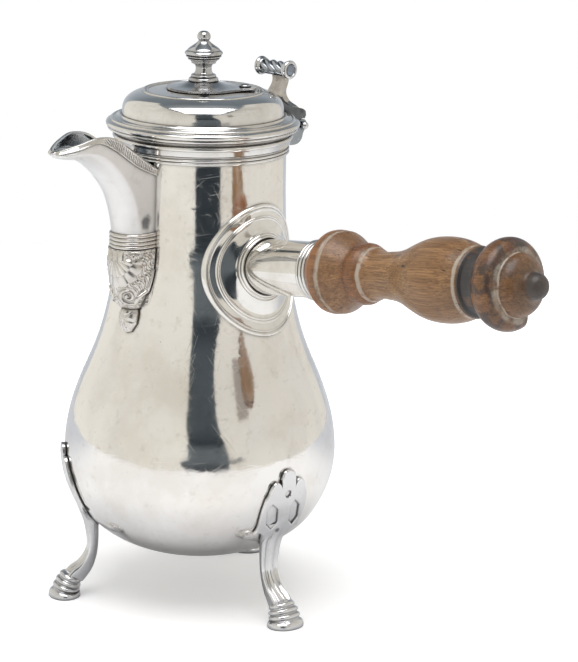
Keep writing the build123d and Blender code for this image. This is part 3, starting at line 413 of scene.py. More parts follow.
def wood(name):
    """Waxed fruitwood: lengthwise grain, pale rings of worn wax and painted highlight, orange edges and near-black in
    the waist.
    """
    mat, g, bsdf = new_material(name)
    pos = g.node("ShaderNodeTexCoord").outputs["Object"]
    tilt = radians(6.9)
    v = g.mapping(pos, loc=(0, 0, -0.1435))
    v = g.mapping(v, rot=(-(pi / 2 - tilt), 0, 0))
    axis = g.node("ShaderNodeSeparateXYZ")
    g.put(axis.inputs[0], v)
    along = g.math("MULTIPLY", axis.outputs[2], 1000.0)          # mm from the vessel's axis
    radius = g.math("MULTIPLY", g.vmath("LENGTH", g.mapping(v, scale=(1, 1, 0))), 1000.0)
    wob = g.math("ADD", along, g.math("MULTIPLY", g.math("SUBTRACT", g.noise(v, 160.0, 3.0, 0.6), 0.5), 1.6))
    warp = g.math("MULTIPLY", g.math("SUBTRACT", g.noise(v, 55.0, 2.0, 0.5), 0.5), 0.004)
    grain = g.noise(g.mapping(v, scale=(420, 420, 20)), 1.0, 7.0, 0.66, 0.6)
    line = g.noise(g.mapping(v, scale=(1500, 1500, 42)), 1.0, 4.0, 0.65)
    fine = g.noise(g.mapping(v, scale=(3600, 3600, 150)), 1.0, 3.0, 0.6)
    pores = g.step(g.noise(g.mapping(v, loc=(0.02, 0.03, 0.0), scale=(2600, 2600, 210)), 1.0, 2.0, 0.5), 0.62, 0.70)
    patch = g.noise(g.mapping(v, scale=(60, 60, 40)), 1.0, 4.0, 0.6)
    blot = g.noise(g.mapping(v, loc=(0.3, 0.1, 0.2), scale=(95, 95, 95)), 1.0, 5.0, 0.65)
    # growth layers: nested sheets a little off the turning axis
    leaf = g.vmath("LENGTH", g.mapping(v, loc=(0.013, 0.021, 0.0), rot=(0.10, 0.06, 0.0), scale=(1.0, 1.35, 0.0)))
    rings = g.math("SINE", g.math("MULTIPLY", g.math("ADD", leaf, warp), 2 * pi / 0.00125))
    base = g.ramp(grain, [(0.26, (0.150, 0.078, 0.034)), (0.44, (0.235, 0.132, 0.060)), (0.58, (0.320, 0.190, 0.092)), (0.76, (0.420, 0.272, 0.148))])
    base = g.mix(g.math("MULTIPLY", g.step(rings, 0.15, 0.95), 0.30), base, (0.135, 0.072, 0.033))
    base = g.mix(g.math("MULTIPLY", g.step(line, 0.48, 0.60), 0.62), base, (0.105, 0.055, 0.026))
    base = g.mix(g.math("MULTIPLY", g.step(fine, 0.54, 0.70), 0.35), base, (0.400, 0.270, 0.160))
    base = g.mix(g.math("MULTIPLY", pores, 0.55), base, (0.055, 0.030, 0.016))
    base = g.mix(g.math("MULTIPLY", g.step(patch, 0.48, 0.66), 0.38), base, (0.150, 0.088, 0.050))
    base = g.mix(g.math("MULTIPLY", g.step(blot, 0.58, 0.68), 0.60), base, (0.065, 0.036, 0.022))
    # zones along the grip
    zone = g.math("DIVIDE", g.math("SUBTRACT", wob, 70.0), 120.0)
    tint = g.ramp(zone, [
        (0.000, (1.05, 0.70, 0.46)), (0.075, (1.10, 0.80, 0.56)), (0.095, (1.00, 0.92, 0.88)), (0.17, (0.98, 0.92, 0.88)),
        (0.205, (0.78, 0.58, 0.46)), (0.250, (0.95, 0.78, 0.66)), (0.275, (1.12, 1.10, 1.06)), (0.45, (1.16, 1.14, 1.08)),
        (0.640, (1.10, 1.05, 0.96)), (0.690, (0.88, 0.86, 0.82)), (0.750, (0.88, 0.72, 0.56)), (0.80, (0.86, 0.72, 0.60)),
        (0.880, (0.70, 0.60, 0.52)), (0.930, (0.52, 0.50, 0.50))])
    base = g.mix(1.0, base, tint, blend="MULTIPLY")
    base = g.mix(1.0, base, (1.03, 0.955, 0.845), blend="MULTIPLY")
    # orange wear on the edges of the beads
    orange = g.math("MAXIMUM", g.between(wob, 73.2, 80.6, 0.9), g.between(wob, 162.0, 165.2, 0.7))
    orange = g.math("MULTIPLY", orange, g.step(g.noise(v, 240.0, 3.0, 0.6), 0.30, 0.62))
    base = g.mix(g.math("MULTIPLY", orange, 0.55), base, (0.36, 0.135, 0.045))
    red = g.math("MULTIPLY", g.between(wob, 163.5, 174.5, 1.5), g.step(g.noise(v, 130.0, 4.0, 0.6), 0.52, 0.62))
    base = g.mix(g.math("MULTIPLY", red, 0.75), base, (0.125, 0.034, 0.018))
    soot = g.math("MULTIPLY", g.between(wob, 161.0, 174.0, 1.2), g.step(g.noise(g.mapping(v, loc=(0.2, 0.4, 0.1), scale=(110, 110, 150)), 1.0, 5.0, 0.65), 0.46, 0.56))
    base = g.mix(g.math("MULTIPLY", soot, 0.86), base, (0.040, 0.026, 0.020))
    # near-black in the waist and on the tip
    black = g.math("MULTIPLY", g.between(wob, 154.6, 161.9, 0.6), g.step(g.noise(v, 90.0, 3.0, 0.6), 0.16, 0.44))
    tip = g.step(wob, 179.5, 183.5)
    cone = g.math("MULTIPLY", g.between(wob, 173.0, 180.0, 1.0), g.step(g.noise(v, 75.0, 3.0, 0.5), 0.46, 0.64))
    black = g.math("MAXIMUM", g.math("MULTIPLY", black, 0.93), g.math("MAXIMUM", g.math("MULTIPLY", tip, 0.72), g.math("MULTIPLY", cone, 0.7)))
    base = g.mix(black, base, (0.026, 0.031, 0.036))
    # darker in the turned grooves by ambient occlusion: dirt, and painted shade
    ao = g.node("ShaderNodeAmbientOcclusion", samples=6, only_local=True)
    ao.inputs["Distance"].default_value = 0.0030
    dirt_and_shade = g.step(ao.outputs["AO"], 0.30, 0.92, 1.0, 0.0)
    base = g.mix(g.math("MULTIPLY", dirt_and_shade, 0.70), base, (0.040, 0.026, 0.019))
    # pale bands beside the turned lines: worn wax, and a painted highlight on the bead edges
    wax_and_highlight = None
    for c, w in ((83.3, 0.95), (100.3, 0.85), (152.9, 0.75), (163.0, 0.30), (174.1, 0.40)):
        n = g.between(wob, c - w, c + w, 0.35)
        wax_and_highlight = n if wax_and_highlight is None else g.math("MAXIMUM", wax_and_highlight, n)
    wax_and_highlight = g.math("MULTIPLY", wax_and_highlight, g.step(g.noise(v, 260.0, 3.0, 0.6), 0.24, 0.52))
    base = g.mix(g.math("MULTIPLY", wax_and_highlight, 0.72), base, (0.52, 0.46, 0.38))
    # a few checks along the grain
    crack = g.step(g.noise(g.mapping(v, loc=(0.011, 0.004, 0.0), scale=(420, 420, 28)), 1.0, 2.0, 0.5), 0.725, 0.76)
    base = g.mix(g.math("MULTIPLY", crack, 0.85), base, (0.030, 0.018, 0.012))
    g.put(bsdf.inputs["Base Color"], base)
    rough = g.math("ADD", g.math("MULTIPLY", line, 0.24), 0.24)
    rough = g.math("ADD", rough, g.math("MULTIPLY", black, 0.10))
    g.put(bsdf.inputs["Roughness"], rough)
    bsdf.inputs["Coat Weight"].default_value = 0.30
    bsdf.inputs["Coat Roughness"].default_value = 0.24
    n1 = g.bump(grain, 0.5, 0.00030)
    n2 = g.bump(line, 0.7, 0.00014, n1)
    n3 = g.bump(crack, 0.8, -0.00030, n2)
    n4 = g.bump(blot, 0.5, 0.00040, n3)
    g.links.new(n4, bsdf.inputs["Normal"])
    return mat


# --------------------------------------------------------- geometry helpers
def mesh_object(name, verts, faces, mat, sharp=None, marks=None, scale=MM):
    mesh = bpy.data.meshes.new(name)
    mesh.from_pydata([(v[0] * scale, v[1] * scale, v[2] * scale) for v in verts], [], faces)
    if marks:
        for p, m in zip(mesh.polygons, marks):
            p.material_index = m
    bm = bmesh.new()
    bm.from_mesh(mesh)
    bmesh.ops.remove_doubles(bm, verts=bm.verts, dist=2e-6)
    bmesh.ops.recalc_face_normals(bm, faces=bm.faces)
    bm.to_mesh(mesh)
    bm.free()
    for p in mesh.polygons:
        p.use_smooth = True
    if sharp is not None:
        mesh.set_sharp_from_angle(angle=radians(sharp))
    mesh.materials.append(mat)
    obj = bpy.data.objects.new(name, mesh)
    bpy.context.scene.collection.objects.link(obj)
    return obj


def loft(name, rings, mat, caps=True, sharp=None, outer=None, mark=None):
    """Closed skin over rings of equal length. Where a ring is a thin U, outer is the number of points on its outside."""
    verts, faces, marks = [], [], []
    n = len(rings[0])
    for ring in rings:
        verts.extend(ring)
    for i in range(len(rings) - 1):
        a, b = i * n, (i + 1) * n
        for k in range(n):
            k2 = (k + 1) % n
            faces.append((a + k, a + k2, b + k2, b + k))
            marks.append(mark(i, k) if mark else 0)
    if outer:
        for base in (0, (len(rings) - 1) * n):
            i, j = 0, n - 1
            while i < outer - 1 or j > outer:
                if j <= outer or (i < outer - 1 and (i + 1) / (outer - 1) <= (n - j) / (n - 1 - outer)):
                    faces.append((base + i, base + i + 1, base + j))
                    i += 1
                else:
                    faces.append((base + i, base + j, base + j - 1))
                    j -= 1
                marks.append(0)
    elif caps:
        for base, ring in ((0, rings[0]), ((len(rings) - 1) * n, rings[-1])):
            c = [sum(p[j] for p in ring) / n for j in range(3)]
            idx = len(verts)
            verts.append(c)
            for k in range(n):
                faces.append((idx, base + k, base + (k + 1) % n))
                marks.append(0)
    return mesh_object(name, verts, faces, mat, sharp, marks if mark else None)


def lathe(name, profile, origin, x_dir, y_dir, axis_dir, mat, seg=96, shape=None, sharp=None):
    """Profile of (radius, distance along the axis) turned about an axis; shape may vary the radius."""
    o, xd, yd, ad = Vector(origin), Vector(x_dir), Vector(y_dir), Vector(axis_dir)
    rings = []
    for r, t in profile:
        ring = []
        for k in range(seg):
            a = 2 * pi * k / seg
            rr = r if shape is None else shape(r, t, a)
            ring.append(o + xd * (rr * cos(a)) + yd * (rr * sin(a)) + ad * t)
        rings.append(ring)
    return loft(name, rings, mat, caps=True, sharp=sharp)


def eased(rows, parts):
    """Rows of numbers with extra rows between them on a smooth curve."""
    out = []
    for i in range(len(rows) - 1):
        a, b, c = rows[max(i - 1, 0)], rows[i], rows[i + 1]
        d = rows[min(i + 2, len(rows) - 1)]
        for k in range(parts):
            t = k / parts
            out.append(tuple(0.5 * (2 * q + (r - p) * t + (2 * p - 5 * q + 4 * r - s) * t * t + (3 * q - p - 3 * r + s) * t ** 3)
                             for p, q, r, s in zip(a, b, c, d)))
    return out + [tuple(rows[-1])]


def row_at(rows, u):
    """One row of numbers at a fractional place on the same smooth curve."""
    u = min(max(u, 0.0), len(rows) - 1 - 1e-9)
    i = int(u)
    t = u - i
    a, b, c = rows[max(i - 1, 0)], rows[i], rows[i + 1]
    d = rows[min(i + 2, len(rows) - 1)]
    return tuple(0.5 * (2 * q + (r - p) * t + (2 * p - 5 * q + 4 * r - s) * t * t + (3 * q - p - 3 * r + s) * t ** 3)
                 for p, q, r, s in zip(a, b, c, d))


def smooth(x, lo, hi):
    t = min(max((x - lo) / (hi - lo), 0.0), 1.0)
    return t * t * (3 - 2 * t)


BELLY = [
    (0.0, 21.0), (14.0, 21.35), (22.0, 22.5), (29.2, 24.6), (35.8, 27.6),
    (41.8, 31.4), (46.2, 35.3), (49.7, 40.0), (52.8, 45.8), (55.2, 52.0),
    (56.6, 58.6), (57.0, 64.6), (56.6, 71.0), (55.4, 78.5), (53.4, 86.0),
    (50.8, 93.4), (47.6, 101.0), (44.2, 109.2), (41.3, 118.0), (38.9, 128.0),
    (36.9, 139.0), (35.5, 150.0), (34.75, 161.0), (34.45, 172.0), (34.35, 185.0), (34.35, 200.0)]
DENSE = eased(BELLY, 12)


def vessel_r(z):
    lo, hi = 0, len(DENSE) - 1
    if z >= DENSE[-1][1]:
        return DENSE[-1][0]
    while hi - lo > 1:
        mid = (lo + hi) // 2
        if DENSE[mid][1] <= z:
            lo = mid
        else:
            hi = mid
    (r0, z0), (r1, z1) = DENSE[lo], DENSE[hi]
    return r0 + (r1 - r0) * (z - z0) / max(z1 - z0, 1e-9)


def vessel_normal(z):
    """Outward (radial, vertical) of the vessel's face at a height."""
    s = (vessel_r(z + 0.6) - vessel_r(z - 0.6)) / 1.2
    n = hypot(1.0, s)
    return 1.0 / n, -s / n


def hash01(i, j):
    x = sin(i * 127.1 + j * 311.7) * 43758.5453
    return x - floor(x)


# -------------------------------------------------------------------- spout
# leading edge x z, top edge x z, half width, depth of the round nose
SPOUT = [
    (-41.5, 130.0, -26.0, 131.5, 3.7, 3.5), (-45.0, 136.0, -26.0, 136.5, 5.6, 5.2), (-46.3, 144.0, -26.0, 144.5, 7.4, 6.6),
    (-46.6, 153.0, -26.0, 153.5, 8.1, 7.2), (-47.1, 163.0, -26.0, 164.5, 8.2, 7.2), (-48.7, 171.0, -26.5, 174.0, 8.2, 7.2),
    (-52.0, 179.5, -28.5, 184.4, 8.3, 7.2), (-57.8, 187.0, -37.2, 190.2, 8.5, 7.2), (-63.8, 192.1, -46.8, 196.8, 8.8, 7.0),
    (-69.4, 194.8, -55.6, 202.4, 9.0, 6.6), (-74.4, 195.5, -63.8, 203.9, 8.4, 5.6), (-78.2, 196.3, -72.0, 201.7, 6.4, 3.4),
    (-79.9, 197.3, -77.8, 199.8, 3.4, 1.6), (-80.3, 198.0, -79.6, 199.0, 1.2, 0.6)]


def spout_section(u, inset, ridge=0.0, side=9, nose_n=90):
    """Half-open U of the spout at place u, from its near top edge round to its far top edge."""
    lx, lz, tx, tz, w, nose = row_at(SPOUT, u)
    depth = hypot(lx - tx, lz - tz)
    dx, dz = (lx - tx) / depth, (lz - tz) / depth
    W, D = max(w - inset, 0.25), max(depth - inset, 0.6)
    n = min(max(nose - inset, 0.25), D)
    start = 0.0
    while start < D and hypot(tx + dx * start, W) < vessel_r(tz + dz * start) - 0.25:
        start += 0.1
    start = min(start, D - n - 0.05) if D - n - 0.05 > 0 else 0.0
    pts = []
    for k in range(side):
        t = start + (D - n - start) * k / side
        pts.append((-W, t))
    for k in range(nose_n + 1):
        a = pi * k / nose_n
        f = ridge * (0.5 + 0.5 * cos(a * 18)) * min(1.0, 2.2 * sin(a))
        pts.append((-(W - f) * cos(a), D - n + (n - f) * sin(a)))
    for k in range(side, 0, -1):
        t = start + (D - n - start) * (k - 1) / side
        pts.append((W, t))
    return [(tx + dx * t, y, tz + dz * t) for y, t in pts]


def make_spout(mat, throat_shaded):
    rings = []
    steps = 170
    top = len(SPOUT) - 1
    for i in range(steps + 1):
        u = top * i / steps
        fan = 0.72 * smooth(u, 7.6, 9.2) * (1 - smooth(u, 12.2, 12.9))
        inset = 1.1 + 0.25 * smooth(u, 10.5, 12.5)
        if u > 12.2:
            inset = 1.1 * (1 - smooth(u, 12.2, 13.0)) + 0.3
        outer = spout_section(u, 0.0)
        inner = spout_section(u, inset, ridge=fan)
        rings.append(outer + inner[::-1])
    half = len(rings[0]) // 2

    # faces inside the channel take the painted-shade copy of the silver
    def inside(i, k):
        return 1 if half + 1 <= k < 2 * half - 1 and i < steps - 8 else 0

    obj = loft("spout_channel", rings, mat, sharp=50, outer=half, mark=inside)
    obj.data.materials.append(throat_shaded)
    return obj


def make_border(name, side, mat, throat_shaded, u0=6.50, u1=12.95):
    """Chased strip lying over one top edge of the spout and rolling round its lip."""
    rings = []
    steps = 520
    along = 0.0
    prev = None
    for i in range(steps + 1):
        u = u0 + (u1 - u0) * i / steps
        lx, lz, tx, tz, w, nose = row_at(SPOUT, u)
        a = row_at(SPOUT, u - 0.02)
        b = row_at(SPOUT, u + 0.02)
        p = Vector((tx, side * w, tz))
        tangent = Vector((b[2] - a[2], side * (b[4] - a[4]), b[3] - a[3]))
        if tangent.length < 1e-6:
            tangent = Vector((-1, -side, 0))
        tangent.normalize()
        down = Vector((lx - tx, 0, lz - tz)).normalized()
        down = (down - tangent * down.dot(tangent)).normalized()
        out = tangent.cross(down)
        if out.y * side < 0 and abs(out.y) > 0.15 or (abs(out.y) <= 0.15 and out.x > 0):
            out = -out
        if prev is not None:
            along += (p - prev).length
        prev = p
        height = 2.5 + 1.4 * smooth(u, 6.6, 7.6) - 1.8 * smooth(u, 8.9, 10.2) - 0.5 * smooth(u, 11.2, 12.5)
        proud = 0.95 - 0.35 * smooth(u, 9.2, 10.6)
        inn = 1.5 - 0.95 * smooth(u, 8.8, 9.8)
        chase = 0.62 * (1 - smooth(u, 9.4, 10.0)) * smooth(u, 6.6, 6.9)
        top = 0.45 + 0.55 * (1 - smooth(u, 8.8, 9.8))
        section = [(0.05 - inn, 0.55), (-inn, 0.0), (-0.8 * inn, -0.42 * top), (-0.4 * inn, -0.58 * top), (0.1, -0.55 * top),
                   (0.62 * proud, -0.36 * top), (0.92 * proud, -0.05), (proud, 0.28)]
        n_mid = 12
        for k in range(n_mid + 1):
            d = 0.42 + (height - 0.9) * k / n_mid
            face = proud - 0.10
            if chase and 0 < k < n_mid:
                stroke = abs(sin(pi * (along / 1.35 + d * 0.85 + 0.12 * sin(along * 1.7)))) ** 0.45
                face += 1.15 * chase * (stroke - 1.0) * min(1.0, 2.5 * sin(pi * k / n_mid))
            section.append((face, d))
        section += [(proud, height - 0.28), (0.90 * proud, height - 0.02), (0.5 * proud, height + 0.10), (-0.05, height - 0.05), (-0.3, height - 0.4)]
        rings.append([p + out * n + down * d for n, d in section])
    last = len(rings[0]) - 1
    first = int(steps * (9.0 - u0) / (u1 - u0))
    # the rolled lip's inner faces take the painted-shade copy of the silver
    obj = loft(name, rings, mat, sharp=60, mark=lambda i, k: 1 if i > first and (k < 4 or k >= last - 1) else 0)
    obj.data.materials.append(throat_shaded)
    return obj


# -------------------------------------------------------------------- shell
SHELL = [(130.2, 43.6, 4.9, 4.6), (134.0, 46.4, 6.3, 5.8), (140.0, 47.5, 8.1, 7.0), (148.0, 47.9, 9.1, 7.6), (155.6, 47.7, 9.2, 7.6)]


def shell_row(z):
    i = 0
    while i < len(SHELL) - 2 and z > SHELL[i + 1][0]:
        i += 1
    u = i + (z - SHELL[i][0]) / (SHELL[i + 1][0] - SHELL[i][0])
    return row_at(SHELL, u)[1:]


def shell_curve(z, inset=0.0):
    """Points of the casing's outline at a height, near side to far side, with running length."""
    lead, w, nose = shell_row(z)
    lead, w, nose = lead - inset, w - inset, nose - inset
    cx = -(lead - nose)
    pts = []
    R = vessel_r(z) - 0.25
    xs = -sqrt(max(R * R - w * w, 0.0))
    if xs > cx:
        n = 14
        for k in range(n):
            pts.append((xs + (cx - xs) * k / n, -w))
    for k in range(61):
        a = pi * k / 60
        pts.append((cx - nose * sin(a), -w * cos(a)))
    if xs > cx:
        for k in range(14, 0, -1):
            pts.append((xs + (cx - xs) * (k - 1) / 14, w))
    run = [0.0]
    for p, q in zip(pts[:-1], pts[1:]):
        run.append(run[-1] + hypot(q[0] - p[0], q[1] - p[1]))
    half = run[-1] / 2
    return pts, [r - half for r in run], half


def point_on(pts, run, s):
    lo, hi = 0, len(run) - 1
    while hi - lo > 1:
        mid = (lo + hi) // 2
        if run[mid] <= s:
            lo = mid
        else:
            hi = mid
    t = (s - run[lo]) / max(run[hi] - run[lo], 1e-9)
    p, q = pts[lo], pts[hi]
    x, y = p[0] + (q[0] - p[0]) * t, p[1] + (q[1] - p[1]) * t
    nx, ny = (q[1] - p[1]), -(q[0] - p[0])
    n = hypot(nx, ny)
    nx, ny = nx / n, ny / n
    if nx * (x + 36.0) + ny * y < 0:
        nx, ny = -nx, -ny
    return x, y, nx, ny


def bead(d, width):
    """Round ridge of a given half width at distance d from its middle."""
    q = min(abs(d) / width, 1.0)
    return sqrt(max(1 - q * q, 0.0))


def shell_relief(s, z, half):
    a = abs(s)
    # fan in two tiers, spreading from the middle line
    dx, dz = a, 152.4 - z
    rho = hypot(dx, dz)
    th = atan2(dx, dz)
    h = 0.10
    # feathered side panel
    ca, sa = cos(radians(38)), sin(radians(38))
    fx, fz = (a - 6) * ca + (z - 146) * sa, -(a - 6) * sa + (z - 146) * ca
    curl = fx + 0.55 * sin(fz * 1.1) + 0.25 * sin(a * 2.3 + z * 1.7)
    veins = abs(sin(pi * curl / 1.25))
    leafy = 0.16 + 0.34 * veins ** 0.6 + 0.16 * sin(fz * 2.1 + 0.8 * sin(fx * 1.7))
    h = max(h, leafy * smooth(half - 1.0 - a, 0.0, 0.5))
    spread = 1 - smooth(th, 1.35, 1.6)
    if z < 153.2:
        lobe = abs(cos(th * 8.2))
        edge2 = 12.1 + 0.9 * lobe
        t2 = smooth(edge2 - rho, 0.0, 0.30) * spread
        ribs = abs(cos(th * 8.2)) ** 0.7
        h = h * (1 - t2) + t2 * (0.42 + 0.36 * ribs)
        edge1 = 7.7 + 0.8 * abs(cos(th * 9.0 + 0.4))
        t1 = smooth(edge1 - rho, 0.0, 0.30) * spread
        ribs1 = abs(cos(th * 9.0 + 0.4)) ** 0.7
        h = h * (1 - t1) + t1 * (0.80 + 0.36 * ribs1 * smooth(rho, 0.4, 2.2))
    # small upright leaves under the reeded band
    if z > 150.8:
        up = abs(cos(pi * a / 3.0)) ** 0.8
        band = smooth(z, 150.8, 151.4) * (1 - smooth(z, 154.9, 155.4)) * (1 - smooth(a, 5.2, 6.0))
        h = h * (1 - band) + band * (0.45 + 0.55 * up * (1 - 0.35 * smooth(z, 152.5, 155.0)))
    # plain line round the side panel
    frame = max(bead(half - 1.1 - a, 0.38) if z > 141 else 0.0, bead(154.9 - z, 0.35) if a > 5.5 and a < half - 0.8 else 0.0)
    h = max(h, 0.75 * frame)
    # volute
    cxs, czs = 5.4, 136.5
    vx, vz = a - cxs, z - czs
    r = hypot(vx, vz)
    if r < 5.4:
        disc = smooth(4.15 - r, 0.0, 0.35)
        h = h * (1 - disc) + disc * 0.42
        ang = degrees(atan2(vz, vx))
        best = 0.0
        for turn in range(3):
            psi = ang - 360.0 * turn
            if psi > -60.0:
                psi -= 360.0
            f = (-psi - 60.0) / 600.0
            if 0.0 <= f <= 1.0:
                rc = 3.75 * (1 - f ** 0.92) + 0.12
                width = 0.80 - 0.22 * f
                best = max(best, bead(r - rc, width) * (1.0 - 0.15 * f))
        best = max(best, bead(r, 0.62) * 0.95)
        h = max(h, 0.42 * (1 if disc > 0.5 else 0) + 0.85 * best * (1 if r < 4.6 else 0))
    # tail of the scroll, up the outer edge
    tail = [(7.6, 133.3, 0.95), (min(9.0, half - 0.9), 135.2, 1.05), (half - 1.05, 138.0, 1.05), (half - 0.95, 142.0, 0.85), (half - 0.8, 146.8, 0.35)]
    best = 0.0
    for (x0, z0, w0), (x1, z1, w1) in zip(tail[:-1], tail[1:]):
        ux, uz = x1 - x0, z1 - z0
        t = min(max(((a - x0) * ux + (z - z0) * uz) / (ux * ux + uz * uz), 0.0), 1.0)
        d = hypot(a - x0 - ux * t, z - z0 - uz * t)
        best = max(best, bead(d, w0 + (w1 - w0) * t))
    h = max(h, 1.25 * best)
    return h


def make_shell(mat):
    rings = []
    rows, cols, back = 176, 236, 40
    for i in range(rows + 1):
        z = 130.6 + (155.55 - 130.6) * i / rows
        pts, run, half = shell_curve(z)
        ring = []
        for k in range(cols + 1):
            s = -half + 2 * half * k / cols
            x, y, nx, ny = point_on(pts, run, s)
            h = shell_relief(s, z, half) * smooth(half - abs(s), 0.0, 0.6) * smooth(z, 130.6, 131.6)
            h -= 0.35
            ring.append((x + nx * h, y + ny * h, z))
        pts, run, half = shell_curve(z, 1.35)
        for k in range(back + 1):
            s = half - 2 * half * k / back
            x, y, nx, ny = point_on(pts, run, s)
            ring.append((x, y, z))
        rings.append(ring)
    return loft("shell_relief", rings, mat, outer=cols + 1)


def make_leaf(mat):
    """Small matted leaf on the vessel under the shell."""
    rings = []
    n_r, n_a = 34, 120
    for i in range(n_r + 1):
        q = i / n_r
        ring = []
        for k in range(n_a):
            a = 2 * pi * k / n_a
            lobe = 1.0 - 0.05 * abs(sin(a * 4.5)) if sin(a) < 0.3 else 1.0
            y = 4.9 * q * cos(a) * lobe
            z = 126.4 + 6.7 * q * sin(a) * lobe
            R = vessel_r(z)
            base = -sqrt(max(R * R - y * y, 1.0)) + 0.3
            rise = 5.1 * sqrt(max(1 - q ** 2.4, 0.0)) * (0.82 + 0.18 * smooth(z, 122.0, 130.0))
            ribs = 0.42 * abs(sin(a * 4.5 + 0.6)) ** 0.7 * smooth(q, 0.15, 0.6) * (1 - smooth(q, 0.9, 1.0))
            mat_n = 0.16 * (hash01(int(y * 2.6 + 50), int(z * 2.6)) - 0.5) * smooth(q, 0.1, 0.5) * (1 if z < 126.5 else 0.4)
            knob = 0.8 * bead(hypot(y + 1.2, z - 129.6), 1.9)
            ring.append((base - rise - ribs - mat_n - knob * (1 - smooth(q, 0.75, 0.95)), y, z))
        rings.append(ring)
    return loft("leaf_relief", rings, mat, caps=True)


# ------------------------------------------------------------- handle plate
TILT = radians(6.9)
H_DIR = Vector((0, -cos(TILT), sin(TILT)))
H_UP = Vector((0, sin(TILT), cos(TILT)))
H_X = Vector((1, 0, 0))
H_ORG = Vector((0, 0, 143.5))

PLATE = [(27.1, -0.2), (27.05, 0.45), (26.85, 1.0), (26.5, 1.32), (26.1, 1.38), (25.75, 1.2), (25.5, 0.92), (25.35, 0.88), (25.15, 1.05),
         (24.9, 1.08), (24.7, 0.9), (24.5, 0.78), (23.6, 0.74), (22.4, 0.74), (21.9, 0.78), (21.7, 1.05), (21.45, 1.12), (21.2, 0.95),
         (21.0, 0.92), (20.8, 1.12), (20.55, 1.18), (20.3, 1.0), (20.1, 0.88), (19.3, 0.96), (18.3, 1.19), (17.3, 1.46), (16.3, 1.75),
         (15.4, 2.06), (14.8, 2.34), (14.4, 2.60), (14.1, 2.78), (13.85, 2.74), (13.7, 2.62), (13.5, 2.74), (13.3, 3.0), (13.0, 3.12),
         (12.75, 3.05), (12.6, 3.1), (12.4, 3.5), (12.1, 3.72), (11.8, 3.68), (11.6, 3.5), (11.4, 3.3), (11.15, 3.1), (11.1, 0.0)]


def plate_point(rho, phi, thick):
    bent = 36.5 * sin(rho / 36.5)
    drop = 1.5 * smooth(rho, 13.0, 26.0)
    x = bent * cos(phi)
    v = rho * sin(phi) - drop
    p0 = H_ORG + H_X * x + H_UP * v
    t = 34.0
    for _ in range(14):
        p = p0 + H_DIR * t
        r = hypot(p.x, p.y)
        nr, nz = vessel_normal(p.z)
        gap = (r - vessel_r(p.z)) * nr - thick
        slope = max(H_DIR.dot(Vector((p.x / r * nr, p.y / r * nr, nz))), 0.25)
        t -= gap / slope
    return p0 + H_DIR * t


def make_plate(mat):
    rings = []
    seg = 220
    fine = eased(PLATE, 2)
    for rho, thick in fine:
        rings.append([plate_point(rho, 2 * pi * k / seg, thick) for k in range(seg)])
    rings.append([plate_point(12.0, 2 * pi * k / seg, -0.25) for k in range(seg)])
    rings.append([plate_point(26.9, 2 * pi * k / seg, -0.25) for k in range(seg)])
    rings.append(rings[0])
    return loft("escutcheon", rings, mat, caps=False)


# --------------------------------------------------------------------- legs
LEGS = {"leg_front": -94.2, "leg_left": 145.8, "leg_rear": 25.8}
STEM = [
    (44.6, 41.6, 53.6, 43.6, 5.9), (43.4, 36.6, 51.3, 37.6, 5.3), (43.2, 31.6, 49.2, 32.0, 4.8), (43.3, 24.2, 48.0, 23.8, 4.3),
    (44.1, 17.6, 49.0, 19.2, 4.1), (45.9, 12.2, 52.0, 15.0, 4.2), (48.3, 8.6, 56.0, 12.2, 4.6), (49.9, 6.6, 58.0, 9.6, 4.9)]
STEM_SHAPE = [(0.0, 0.0), (0.0, 0.45), (0.10, 0.68), (0.32, 0.86), (0.58, 0.98), (0.74, 1.0), (0.84, 0.93), (0.845, 0.80), (0.79, 0.64),
              (0.755, 0.50), (0.77, 0.38), (0.85, 0.27), (0.95, 0.20), (1.0, 0.10), (1.01, 0.0)]


def leg_outline():
    half = [(0.0, 67.4), (2.3, 66.6), (3.3, 64.4), (3.55, 60.6), (4.3, 62.0), (5.6, 62.9), (7.2, 62.4), (8.4, 60.9), (9.2, 58.3),
            (10.4, 56.0), (11.1, 52.6), (11.25, 48.8), (10.95, 45.4), (10.8, 42.6), (11.3, 40.5), (9.8, 40.9), (7.9, 40.0), (6.5, 38.2), (5.4, 35.6)]
    pts = []
    for i in range(len(half) - 1):
        a, b, c = half[max(i - 1, 0)], half[i], half[i + 1]
        d = half[min(i + 2, len(half) - 1)]
        corner_b = i in (3, 14)
        corner_c = i + 1 in (3, 14)
        if corner_b:
            a = b
        if corner_c:
            d = c
        if i == 0:
            a = (-2.3, 66.6)
        for k in range(5):
            t = k / 5
            pts.append(tuple(0.5 * (2 * q + (r - p) * t + (2 * p - 5 * q + 4 * r - s) * t * t + (3 * q - p - 3 * r + s) * t ** 3)
                             for p, q, r, s in zip(a, b, c, d)))
    pts.append(half[-1])
    left = [(-x, z) for x, z in pts[1:]]
    return pts + left[::-1]


def leg_windows():
    """Two six-sided windows and a round hole: centre and outline of each."""
    out = []
    for side in (1, -1):
        corners = [(0, 6.1), (-2.75, 3.2), (-2.75, -3.2), (0, -6.1), (2.75, -3.2), (2.75, 3.2)]
        out.append((side * 5.7, 47.9, [(side * 5.7 + x - 0.26 * z, 47.9 + z) for x, z in corners]))
    out.append((0.0, 57.2, [(1.5 * cos(2 * pi * k / 24), 57.2 + 1.5 * sin(2 * pi * k / 24)) for k in range(24)]))
    return out


